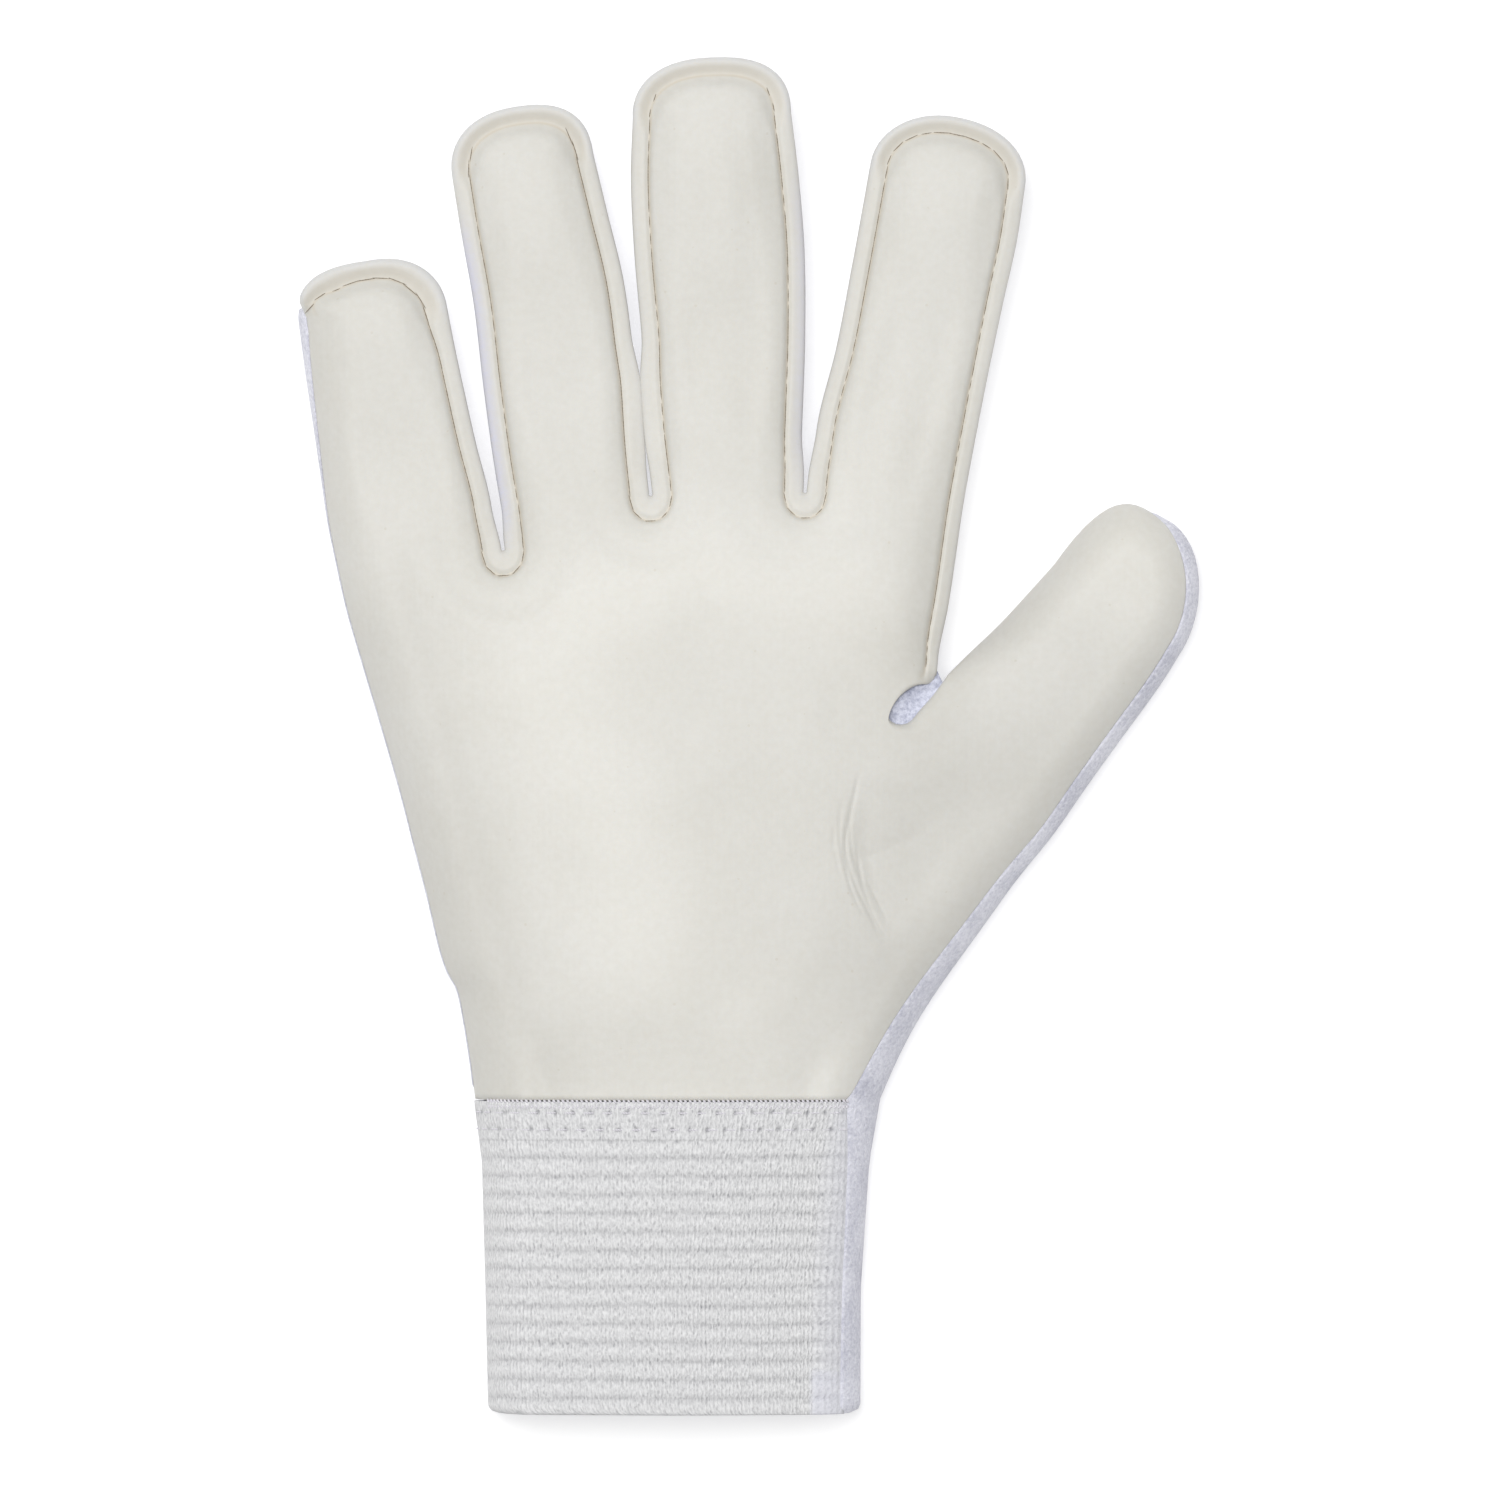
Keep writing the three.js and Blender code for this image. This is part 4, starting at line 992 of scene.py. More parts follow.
def foamUpper(stations):
    seam = outline.seam[stations][:, None]
    tip = outline.tipShare[stations][:, None]
    tuck, wrap = outline.tuck[stations][:, None], outline.wrap[stations][:, None]
    show = outline.show[stations][:, None]
    along = outline.along[stations][:, None]
    top = heights["seam"] + heights["foam"]
    lip = foamEdge(stations)
    groove, valley = mix(*foamStyle["groove"], tip), mix(*foamStyle["valley"], tip)
    pucker = foamStyle["pucker"] * np.cos(2 * np.pi * along / foamStyle["puckerPitch"])

    # rows of share from the foam's edge to the seam, then from the seam to the shoulder
    rim = np.array([0, 0.02, 0.08, 0.18, 0.32, 0.52, 0.7, 0.83, 0.93, 1.0])[None]
    rimDepth = mix(lip, seam, rim)
    rimZ = (top - foamStyle["lipDrop"] * (1 - quarterRound(rim / 0.3))
            - groove * smooth((rim - 1) / (1.5 * valley) + 1) + pucker * rim)
    pad = np.array([0.035, 0.08, 0.14, 0.22, 0.32, 0.44, 0.58, 0.74, 0.88, 1.0])[None]
    padDepth = mix(seam, shoulderEnd, pad)
    padZ = (top + heights["crown"] * (1 - (1 - pad) ** 1.8)
            - groove * (1 - smooth(pad / valley)) + pucker * (1 - pad) ** 6)
    flangeDepth = np.concatenate([rimDepth, padDepth], 1)
    flangeZ = np.concatenate([rimZ, padZ], 1)

    share = np.concatenate([[0, 0.0, 0.012, 0.03, 0.055, 0.09, 0.13, 0.18, 0.24, 0.3],
                            [0.36, 0.42, 0.48, 0.54, 0.61, 0.68, 0.76, 0.84, 0.92, 1.0]])[None]
    tuckDepth = mix(show, shoulderEnd, share)
    tuckZ = sideTop(tuckDepth) - 0.5 * (1 - quarterRound(share / 0.05))
    tuckZ[:, 0] -= 0.5
    wrapEdge = heights["rim"] - heights["sewn"]
    wallEnd = heights["seam"] - heights["sideDrop"]
    wrapDepth = np.concatenate([[0.9, 0.45, 0.2, 0.05],
                                shoulderEnd * np.linspace(0, 1, 16) ** 1.6])[None] + 0 * seam
    wallZ = np.array([wrapEdge, wrapEdge + 0.5, wrapEdge + 1.0, mix(wrapEdge, wallEnd, 0.8)])
    tight = outline.tight[stations][:, None]
    wrapZ = np.concatenate([wallZ[None] + 0 * seam, sideTop(tight * wrapDepth[:, 4:])], 1)
    crown = top + heights["crown"]
    flat = (1 - seamStyle["slitDepth"]) * outline.flat[stations][:, None]
    wrapZ[:, 4:] = mix(wrapZ[:, 4:], crown, flat)
    wrapZ[:, 3:4] = mix(wrapZ[:, 3:4], crown - 1.2, flat)
    depth = mix(mix(flangeDepth, tuckDepth, tuck), wrapDepth, wrap)
    z = mix(mix(flangeZ, tuckZ, tuck), wrapZ, wrap)
    return depth, z


def foamLower(stations):
    tuck, wrap = outline.tuck[stations][:, None], outline.wrap[stations][:, None]
    show = outline.show[stations][:, None]
    seam = outline.seam[stations][:, None]
    crown = heights["seam"] + heights["crown"]
    lip = foamEdge(stations)
    rows = np.array([0, 1 / 3, 2 / 3, 1])[None]
    flangeDepth = np.concatenate([lip + 0.15, seam, mix(seam, shoulderEnd, 0.5),
                                  shoulderEnd + 0 * seam], 1)
    flangeZ = np.array([heights["seam"], heights["seam"], mix(heights["seam"], crown, 0.5),
                        crown])[None] + 0 * seam
    edgeDepth, edgeZ = underSide(show, 0.6 * heights["foam"])
    tuckDepth = mix(edgeDepth, shoulderEnd, rows)
    tuckZ = mix(edgeZ, crown, rows ** 0.6)
    wrapDepth = np.array([heights["foam"], heights["foam"] + 0.2, heights["foam"] + 1.4,
                          shoulderEnd])[None] + 0 * seam
    wrapZ = np.array([heights["rim"] - heights["sewn"], heights["seam"] - 1.6,
                      crown - 0.8, crown])[None] + 0 * seam
    return (mix(mix(flangeDepth, tuckDepth, tuck), wrapDepth, wrap),
            mix(mix(flangeZ, tuckZ, tuck), wrapZ, wrap))


def fingerWaves(xy):
    # each finger is high towards its tip and at the knuckle, and lower between
    total = np.zeros(len(xy))
    for name in fingerNames:
        side, other = outline.of(f"{name}_left"), outline.of(f"{name}_right")
        root = (outline.edge[side[0]] + outline.edge[other[-1]]) / 2
        lean = math.radians(digits[name][3])
        ahead = np.array([math.sin(lean), math.cos(lean)])
        across = np.array([ahead[1], -ahead[0]])
        along = (xy - root) @ ahead / digits[name][1]
        near = 1 - smooth((np.abs((xy - root) @ across) - 6) / 7)
        dip = np.exp(-((along - 0.3) / 0.22) ** 2)
        hump = np.exp(-((along - 0.75) / 0.14) ** 2)
        total += near * foamStyle["fingerWave"] * (0.5 * hump - dip) * smooth((along + 0.25) / 0.3)
    return total


def foamTints(stations):
    # where the edge strip's columns take the painted shade of the seam's groove and valley, the cut
    # edge's tint and the textile's tint
    column = np.arange(20)
    flange = ((1 - outline.tuck[stations]) * (1 - outline.wrap[stations]))[:, None]
    tip = outline.tipShare[stations][:, None]
    rim = (column < 10) * flange
    # painted shade: a narrow line along the groove, and at the tips a wider band over the valley inside
    # the seam
    groove = np.exp(-(np.abs(column - 9.5) / 1.1) ** 2) * flange
    band = mix(0.10, 0.42 * smooth((column - 2.0) / 2.5), tip)
    cut = mix(0.35, 1.0, tip) * rim * (1 - smooth((column - 2.5) / 3.0))
    lilac = np.zeros(cut.shape)
    for zone, (start, end, strength) in tintedEdges.items():
        rows = outline.of(zone) - stations[0]
        share = np.linspace(0, 1, len(rows))
        if zone.endswith("left"):
            share = 1 - share
        bump = smooth((share - start + 0.2) / 0.2) * smooth((end + 0.2 - share) / 0.2)
        lilac[rows] = strength * bump[:, None] * (1 - smooth((column - 3.0) / 4.0))
    return {"seamPaintedShade": np.maximum(groove, band * rim), "cutEdge": cut, "lilacEdge": lilac}


def makeFoam():
    first = density["cuff"]
    last = len(outline.edge) - 1 - density["cuff"]
    stations = np.arange(first, last + 1)
    upper = Surface(first, last, *foamUpper(stations), True, density["fine"], nearCreases)
    lower = Surface(first, last, *foamLower(stations), False, density["coarse"])
    crown = heights["seam"] + heights["crown"]
    full = fullnessAt(upper.xy)
    fade = smooth((distanceIn(upper.xy) - shoulderEnd) / 5)
    waves = noiseAt(upper.xy, 26, 3.1) + 0.5 * noiseAt(upper.xy, 11, 7.7)
    full += fade * (foamStyle["softWaves"] * waves + foamForms(upper.xy))
    full += upper.soften(fingerWaves(upper.xy) * smooth((distanceIn(upper.xy) - 4) / 6), 12)
    upper.setHeights(crown + heights["foam"], full)
    lower.setHeights(crown, fullnessAt(lower.xy))
    points, faces = panelMesh(upper, lower)
    piece = makePiece("palmFoam", points, faces, latex)
    # painted highlight and painted shade over broad patches of the palm
    tone = sum(amount * np.exp(-(alongPath(points[:, :2], curveThrough(path, 12))[1] / width) ** 2)
               for amount, width, path in paintedLightPatches)
    addAttribute(piece, "tone", tone)
    for name, values in foamTints(stations).items():
        tint = np.zeros(len(points))
        tint[upper.strip] = values
        addAttribute(piece, name, tint)
    return piece


palmFoam = makeFoam()
print("foam palm made,", len(palmFoam.data.polygons), "faces")


# Textile back with the edges that wrap up beside the foam and the elastic

backStyle = {
    "waves": 0.25,
    "gap": 0.03,  # between the foam and the textile turned up beside it
    "roll": 4.0,  # radius of the roll from the sides to the floor
}


def backLower(stations):
    # outside of the textile, from its edge down to the floor
    lift = outline.backTuck[stations][:, None]
    show = outline.show[stations][:, None] - backStyle["gap"]
    rim = heights["seamInset"] + 0.2 - heights["gusset"]
    low, roll = heights["rim"], backStyle["roll"]
    turn = np.linspace(0, 1, 10)
    lowDepth = np.concatenate([[rim, rim - 0.25, rim - 0.4, rim - 0.35],
                               rim - 0.35 + roll * (1 - np.cos(turn[1:] * np.pi / 2)),
                               [shoulderEnd]])[None] + 0 * lift
    lowZ = np.concatenate([[low, low - 0.3, low - 0.8, 1.6],
                           1.6 * (1 - np.sin(turn[1:] * np.pi / 2)), [0]])[None] + 0 * lift
    share = np.array([1, 0.97, 0.8, 0.55, 0.3, 0.1, 0])[None]
    upDepth = show * share
    upZ = sideTop(upDepth) + 0.25 * np.sin(np.pi * np.clip(share, 0, 1)) - 0.3 * (share == 1)
    foot = heights["seam"] - heights["sideDrop"]
    turn = np.linspace(0, 1, 7)[1:]
    sideDepth = roll * (1 - np.cos(turn * np.pi / 2))
    sideZ = foot * (1 - np.sin(turn * np.pi / 2))
    upDepth = np.concatenate([upDepth, sideDepth[None] + 0 * lift, shoulderEnd + 0 * lift], 1)
    upZ = np.concatenate([upZ, sideZ[None] + 0 * lift, 0 * lift], 1)
    return mix(lowDepth, upDepth, lift), mix(lowZ, upZ, lift)


def backUpper(stations):
    lift = outline.backTuck[stations][:, None]
    show = outline.show[stations][:, None] - backStyle["gap"]
    low, thick = heights["rim"], heights["textile"]
    lowDepth = np.array([heights["seamInset"] + 0.2, heights["seamInset"] + 0.9,
                         shoulderEnd])[None] + 0 * lift
    lowZ = np.array([low, thick + 0.3, thick])[None] + 0 * lift
    edgeDepth, edgeZ = underSide(show, 0.75 * thick)
    upDepth = np.concatenate([edgeDepth, thick + 0.4 + 0 * lift, shoulderEnd + 0 * lift], 1)
    upZ = np.concatenate([edgeZ, heights["seam"] - heights["sideDrop"] + 0 * lift,
                          thick + 0 * lift], 1)
    return mix(lowDepth, upDepth, lift), mix(lowZ, upZ, lift)


def makeBack():
    last = len(outline.edge) - 1
    stations = np.arange(0, last + 1)
    upper = Surface(0, last, *backUpper(stations), True, density["coarse"])
    lower = Surface(0, last, *backLower(stations), False, density["fine"])
    upper.setHeights(heights["textile"], 0)
    waves = noiseAt(lower.xy, 30, 1.7) + 0.4 * noiseAt(lower.xy, 9, 5.3)
    fade = smooth((distanceIn(lower.xy) - shoulderEnd) / 6)
    extra = np.maximum(0, backStyle["waves"] * waves * fade)
    for surface, rows in ((lower, 9), (upper, 1)):
        turnedUp = surface.strip[:, :rows]
        lift = outline.backTuck[:, None] * np.linspace(1, 0.4, rows)
        surface.z[turnedUp] += lift * fullnessAt(surface.xy[turnedUp.ravel()]).reshape(lift.shape)
    lower.setHeights(0, extra)
    points, faces = panelMesh(upper, lower)
    return makePiece("backTextile", points, faces, textile)


backTextile = makeBack()
print("textile back made,", len(backTextile.data.polygons), "faces")


# Gussets between foam and back; their sewn lip stands out beyond the foam's edge

gussetStyle = {
    "bulge": 0.5,
    "crotchBulge": 0.8,  # more where it folds round a crotch
    "lipHeight": 1.5,  # how high the sewn lip stands beside the foam's edge
    "sag": 0.25,
}


def gussetPiece(name, stations):
    seam = outline.seam[stations]
    along = outline.along[stations]
    foot, head = heights["rim"] - heights["sewn"], heights["seam"] - heights["gap"]
    inner = heights["seamInset"] + 0.2
    outer = inner - heights["gusset"]
    wobble = gussetStyle["sag"] * np.sin(along / 7.3) + 0.15 * np.sin(along / 2.9 + 1)
    bulge = gussetStyle["bulge"] + wobble + gussetStyle["crotchBulge"] * outline.slack[stations]
    sewn = 1 - outline.tuck[stations]
    high = gussetStyle["lipHeight"] * sewn
    lip = outline.lip[stations]
    out = 1.2 * (1 - sewn) - outline.close[stations] + 0.9 * np.maximum(0, 0.4 - lip)
    lip = lip + 0.9 * out
    section = [
        (inner + 0 * seam, foot), (inner - 0.35 * bulge, mix(foot, head, 0.3)),
        (inner - 0.35 * bulge, mix(foot, head, 0.7)), (np.maximum(seam, inner), head),
        (0.9 * seam, head + 0.1), (lip - 0.05, head + 0.15), (lip - 0.05, head + 0.85 * high),
        (mix(out, lip, 0.85), head + high), (mix(out, lip, 0.55), head + 1.05 * high),
        (mix(out, lip, 0.25), head + 0.9 * high), (mix(out, lip, 0.07), head + 0.65 * high),
        (out, head + 0.3 * high), (out, head - 0.4), (out + 0.2 * seam, head - 0.9),
        (outer - 0.3 - bulge + out, head - 1.6), (outer - bulge + out, mix(foot, head, 0.55)),
        (outer - 0.8 * bulge + out, mix(foot, head, 0.3)), (outer + 0 * seam, foot),
    ]
    depth = np.stack([row[0] + 0 * seam for row in section], 1)
    z = np.stack([row[1] + 0 * seam for row in section], 1)
    place = outline.edge[stations][:, None] + depth[..., None] * outline.inward[stations][:, None]
    full = fullnessAt(place.reshape(-1, 2)).reshape(z.shape) * smooth((z - 5) / 4)
    points = np.column_stack([place.reshape(-1, 2), (z + liftAt(place) + full).ravel()])
    ids = np.arange(depth.size).reshape(depth.shape)
    ids = np.concatenate([ids, ids[:, :1]], 1)
    faces = []
    ladder(ids, faces, False)
    faces += [ids[0, :-1].tolist(), ids[-1, :-1][::-1].tolist()]
    return makePiece(name, points, faces, paleTextile)


def stationSpan(fromZone, fromShare, toZone, toShare):
    a, b = outline.of(fromZone), outline.of(toZone)
    return np.arange(a[round(fromShare * (len(a) - 1))], b[round(toShare * (len(b) - 1))] + 1)


gussetSpans = {
    "gusset_little_ring": ("little_left", 0.9, "ring_tip", 0.5),
    "gusset_ring_middle": ("ring_tip", 0.5, "middle_tip", 0.5),
    "gusset_middle_index": ("middle_tip", 0.5, "index_tip", 0.5),
    "gusset_index_thumb": ("index_tip", 0.5, "index_side", 1),
}
gussets = {}
for nodeName, span in gussetSpans.items():
    pieceName = "gusset" + "".join(part.capitalize() for part in nodeName.split("_")[1:])
    gussets[nodeName] = gussetPiece(pieceName, stationSpan(*span))

webStyle = {
    "below": 0.35,  # below the foam round the slit
    "sag": 0.3,
    "under": 0.35,  # how far it reaches in from the slit's edge
    "pitch": 0.45,
}


def makeWeb():
    # textile in the slit between thumb and palm, sagging a little along its middle
    ids = np.arange(slitStations[1] - 2, slitStations[2] - 1)
    edge = outline.edge[ids] + webStyle["under"] * outline.inward[ids]
    xy, triangles = fillNet(edge, webStyle["pitch"])
    away = distanceTo(xy, np.concatenate([edge, edge[:1]]))
    roll = heights["sideDrop"] + heights["foam"] + heights["crown"]
    high = heights["seam"] - heights["sideDrop"] + roll * (1 - seamStyle["slitDepth"])
    high = high - webStyle["below"] + fullnessAt(xy) + liftAt(xy)
    z = high - webStyle["sag"] * smooth(away / 1.4)
    count = len(edge)
    foot = np.column_stack([edge, np.full(count, heights["rim"])])
    points = np.concatenate([np.column_stack([xy, z]), foot])
    top, low = np.arange(count), len(xy) + np.arange(count)
    faces = triangles.tolist()
    faces += np.stack([low, np.roll(low, -1), np.roll(top, -1), top], 1).tolist()
    faces.append(low[::-1].tolist())
    return makePiece("thumbWeb", points, faces, greyTextile)


thumbWeb = makeWeb()
print("gussets and web made")


# Elastic cuff: a closed band, then ribs, loops and needle holes from Geometry Nodes

elasticStyle = {
    "header": 6.3,  # plain strip above the ribs
    "ribPitch": 3.08,
    "ribHeight": 0.32,
    "ribFade": 4.5,  # ribs flatten towards both ends of the band
    "loopWidth": 0.74,
    "loopHeight": 0.07,
    "rowStep": 0.2,
    "aroundStep": 0.3,
    "stitchPitch": 3.05,
    "holeDepth": 0.5,
    "holeRadius": 0.34,
    "under": 0.7,  # the band's right end runs under the textile strip
    "sink": 0.4,  # and is sewn down there
    "rowsBelowTop": (1.75, 4.55),  # the two rows of needle holes
}


def elasticLine(y):
    # the band's outer line at this height up the cuff, right to left
    up = np.clip(y / gloveShape["cuffLength"], 0, 1)
    left, right, show = cuffEdges(up)
    left += hemRound(up)
    rightDepth = mix(show - elasticStyle["under"], shoulderEnd, np.linspace(0, 1, 12)[:-1])
    leftDepth = shoulderEnd * np.linspace(1, 0, 16)[1:] ** 1.5
    columns = int((right - left - 2 * shoulderEnd) / elasticStyle["aroundStep"])
    return left, right, rightDepth, leftDepth, columns


def makeElastic():
    top = gloveShape["cuffLength"] - heights["gap"]
    levels = np.arange(top, -0.001, -elasticStyle["rowStep"])
    levels[-1] = 0
    columns = elasticLine(top)[4]
    middleXy, lines = [], []
    for y in levels:
        left, right, rightDepth, leftDepth, _ = elasticLine(y)
        x = np.linspace(right - shoulderEnd, left + shoulderEnd, columns)
        middleXy.append(np.column_stack([x, np.full(columns, y)]))
        lines.append((left, right, rightDepth, leftDepth))
    full = fullnessAt(np.concatenate(middleXy)).reshape(len(levels), columns)
    crown = heights["seam"] + heights["crown"] + heights["foam"]
    outer = []
    for (left, right, rightDepth, leftDepth), xy, row in zip(lines, middleXy, full):
        parts = []
        for x, depth, sink in ((right - rightDepth, rightDepth, elasticStyle["sink"]),
                               (left + leftDepth, leftDepth, 0)):
            at = np.column_stack([x, np.full(len(x), xy[0, 1])])
            z = sideTop(depth) + fullnessAt(at)
            z -= sink * (1 - smooth((depth - depth.min()) / (1.5 * elasticStyle["under"])))
            parts.append(np.column_stack([x, z]))
        rightPart, leftPart = parts
        endPart = np.array([[left + 0.08, 5.2], [left + 0.25, 4.4],
                            [left + 0.5, heights["rim"] - heights["sewn"]]])
        middlePart = np.column_stack([xy[:, 0], crown + row])
        outer.append(np.concatenate([rightPart, middlePart, leftPart, endPart]))
    outer = np.stack(outer)
    tangent = np.gradient(outer, axis=1)
    normal = np.stack([-tangent[..., 1], tangent[..., 0]], -1)
    normal /= -np.linalg.norm(normal, axis=-1, keepdims=True)
    inner = outer - heights["elastic"] * normal
    inner[:, -1, 1] = heights["rim"] - heights["sewn"]
    around = np.concatenate([[0], np.cumsum(np.linalg.norm(np.diff(outer[0], axis=0), axis=1))])
    y = np.repeat(levels[:, None], outer.shape[1], 1)
    skip = slice(None, None, 4)
    innerRows = np.unique(np.concatenate([np.arange(len(levels))[skip], [len(levels) - 1]]))
    points = [np.column_stack([outer[..., 0].ravel(), y.ravel(), outer[..., 1].ravel()]),
              np.column_stack([inner[innerRows][..., 0].ravel(), y[innerRows].ravel(),
                               inner[innerRows][..., 1].ravel()])]
    points = np.concatenate(points)
    rows, cols = outer.shape[:2]
    a = np.arange(rows * cols).reshape(rows, cols)
    b = rows * cols + np.arange(len(innerRows) * cols).reshape(len(innerRows), cols)
    faces = []
    ladder(a, faces, True)
    ladder(b, faces, False)
    for column, turn in ((0, 1), (-1, -1)):
        for n in range(len(innerRows) - 1):
            upperRow, lowerRow = innerRows[n], innerRows[n + 1]
            chain = [b[n, column]] + a[upperRow:lowerRow + 1, column].tolist() + [b[n + 1, column]]
            faces.append([int(i) for i in chain[::turn]])
    faces += np.stack([a[0, :-1], b[0, :-1], b[0, 1:], a[0, 1:]], 1).tolist()
    faces += np.stack([a[-1, :-1], a[-1, 1:], b[-1, 1:], b[-1, :-1]], 1).tolist()
    piece = makePiece("cuffElastic", points, faces, knit)
    down = np.full(len(points), -1.0)
    down[:rows * cols] = ((top - elasticStyle["header"]) - y).ravel() * 0.001
    aroundAll = np.zeros(len(points))
    aroundAll[:rows * cols] = np.tile(around, rows) * 0.001
    aroundAll[rows * cols:] = np.tile(around, len(innerRows)) * 0.001
    outside = np.zeros(len(points))
    fade = smooth(around / elasticStyle["ribFade"])
    fade *= 0.15 + 0.85 * smooth((around[-1] - 7 - around) / elasticStyle["ribFade"])
    outside[:rows * cols] = np.tile(fade, rows)
    fromTop = np.full(len(points), 1.0)
    fromTop[:rows * cols] = (top - y).ravel() * 0.001
    # the knit fades into the lilac strip, and a small patch lies at the hem
    sideTint = np.zeros(len(points))
    patch = (1 - smooth((y - 6.5) / 2)) * (1 - smooth((around - 3.2) / 1.5))[None]
    sideTint[:rows * cols] = np.maximum(patch, (1 - smooth(around / 5))[None] * 0.7).ravel()
    for name, values in (("down", down), ("around", aroundAll), ("outside", outside),
                         ("fromTop", fromTop), ("sideTint", sideTint)):
        addAttribute(piece, name, values)
    uvLayer = piece.data.uv_layers.new(name="knit")
    loops = np.empty(len(piece.data.loops), np.int32)
    piece.data.loops.foreach_get("vertex_index", loops)
    uv = np.column_stack([aroundAll, points[:, 1] * 0.001])[loops]
    uvLayer.data.foreach_set("uv", uv.astype(np.float32).ravel())
    return piece, outer, levels, around


# Geometry Nodes helpers

def startTree(name, inputs):
    tree = bpy.data.node_groups.new(name, "GeometryNodeTree")
    tree.is_modifier = True
    tree.interface.new_socket("Geometry", in_out="INPUT", socket_type="NodeSocketGeometry")
    tree.interface.new_socket("Geometry", in_out="OUTPUT", socket_type="NodeSocketGeometry")
    for label, kind, value in inputs:
        socket = tree.interface.new_socket(label, in_out="INPUT", socket_type=kind)
        if value is not None:
            socket.default_value = value
    return tree, tree.nodes.new("NodeGroupInput"), tree.nodes.new("NodeGroupOutput")


def applyTree(piece, tree, lengths, values):
    # lengths are millimetres, the other values go in as they are
    values = {**{label: length * 0.001 for label, length in lengths.items()}, **values}
    modifier = piece.modifiers.new(tree.name, "NODES")
    modifier.node_group = tree
    for item in tree.interface.items_tree:
        if item.item_type == "SOCKET" and item.in_out == "INPUT" and item.name in values:
            modifier[item.identifier] = values[item.name]
    graph = bpy.context.evaluated_depsgraph_get()
    mesh = bpy.data.meshes.new_from_object(piece.evaluated_get(graph), depsgraph=graph)
    piece.modifiers.remove(modifier)
    old = piece.data
    piece.data = mesh
    bpy.data.meshes.remove(old)
    mesh.name = piece.name
    return piece


def attributeIn(tree, name):
    return addNode(tree, "GeometryNodeInputNamedAttribute", {"Name": name},
                   data_type="FLOAT").outputs["Attribute"]


def makeRibTree():
    tree, start, end = startTree("elasticRibs", [
        ("Rib pitch", "NodeSocketFloat", 0.003), ("Rib height", "NodeSocketFloat", 0.0005),
        ("Loop width", "NodeSocketFloat", 0.0007), ("Loop height", "NodeSocketFloat", 0.0001),
        ("Hole pitch", "NodeSocketFloat", 0.003), ("Hole depth", "NodeSocketFloat", 0.0004),
        ("Hole radius", "NodeSocketFloat", 0.0004), ("First row", "NodeSocketFloat", 0.002),
        ("Second row", "NodeSocketFloat", 0.0045), ("Knit", "NodeSocketMaterial", None),
    ])
    value = start.outputs
    down, around = attributeIn(tree, "down"), attributeIn(tree, "around")
    outside, fromTop = attributeIn(tree, "outside"), attributeIn(tree, "fromTop")
    # a slow wander keeps the ribs from looking ruled
    wander = addNode(tree, "ShaderNodeTexNoise", {"Scale": 55.0, "Detail": 2.0}).outputs["Fac"]
    shift = mathNode(tree, "MULTIPLY_ADD", wander, 0.0008, -0.0004)
    inRibs = mathNode(tree, "GREATER_THAN", down, 0.0)
    phase = mathNode(tree, "DIVIDE", mathNode(tree, "ADD", down, shift), value["Rib pitch"])
    wave = mathNode(tree, "ABSOLUTE", mathNode(tree, "SINE", mathNode(tree, "MULTIPLY", phase, math.pi)))
    rib = mathNode(tree, "POWER", wave, 0.7)
    ribTop = mathNode(tree, "MULTIPLY", rib, inRibs)
    flat = mathNode(tree, "SUBTRACT", 1.0, inRibs)
    ribTop = mathNode(tree, "MULTIPLY_ADD", flat, 0.8, ribTop)
    loopPhase = mathNode(tree, "DIVIDE", around, value["Loop width"])
    loops = mathNode(tree, "ABSOLUTE", mathNode(tree, "SINE",
                                              mathNode(tree, "MULTIPLY", loopPhase, math.pi)))
    height = mathNode(tree, "MULTIPLY", mathNode(tree, "SUBTRACT", ribTop, 0.5), value["Rib height"])
    height = mathNode(tree, "MULTIPLY_ADD", mathNode(tree, "MULTIPLY", loops, ribTop),
                     value["Loop height"], height)
    for row, offset in (("First row", 0.0), ("Second row", 0.5)):
        cell = mathNode(tree, "ADD", mathNode(tree, "DIVIDE", around, value["Hole pitch"]), offset)
        near = mathNode(tree, "SUBTRACT", mathNode(tree, "FRACT", cell), 0.5)
        u = mathNode(tree, "MULTIPLY", near, value["Hole pitch"])
        v = mathNode(tree, "SUBTRACT", fromTop, value[row])
        away = mathNode(tree, "ADD", mathNode(tree, "MULTIPLY", u, u), mathNode(tree, "MULTIPLY", v, v))
        size = mathNode(tree, "MULTIPLY", value["Hole radius"], value["Hole radius"])
        hole = mathNode(tree, "EXPONENT", mathNode(tree, "MULTIPLY",
                                                 mathNode(tree, "DIVIDE", away, size), -1.0))
        height = mathNode(tree, "SUBTRACT", height, mathNode(tree, "MULTIPLY", hole,
                                                           value["Hole depth"]))
        # the needle holes also lower the stored ribTop, which paints shade into the knit's colour
        ribTop = mathNode(tree, "SUBTRACT", ribTop, mathNode(tree, "MULTIPLY", hole, 2.2))
    height = mathNode(tree, "MULTIPLY", height, outside)
    offset = addNode(tree, "ShaderNodeVectorMath", operation="SCALE")
    normal = addNode(tree, "GeometryNodeInputNormal").outputs["Normal"]
    tree.links.new(normal, offset.inputs[0])
    tree.links.new(height, offset.inputs["Scale"])
    stored = addNode(tree, "GeometryNodeStoreNamedAttribute", {
        "Geometry": value["Geometry"], "Name": "ribTop", "Value": ribTop}, data_type="FLOAT")
    moved = addNode(tree, "GeometryNodeSetPosition", {
        "Geometry": stored.outputs[0], "Offset": offset.outputs[0]})
    real = addNode(tree, "GeometryNodeRealizeInstances", {"Geometry": moved.outputs[0]})
    painted = addNode(tree, "GeometryNodeSetMaterial", {
        "Geometry": real.outputs[0], "Material": value["Knit"]})
    tree.links.new(painted.outputs[0], end.inputs[0])
    return tree


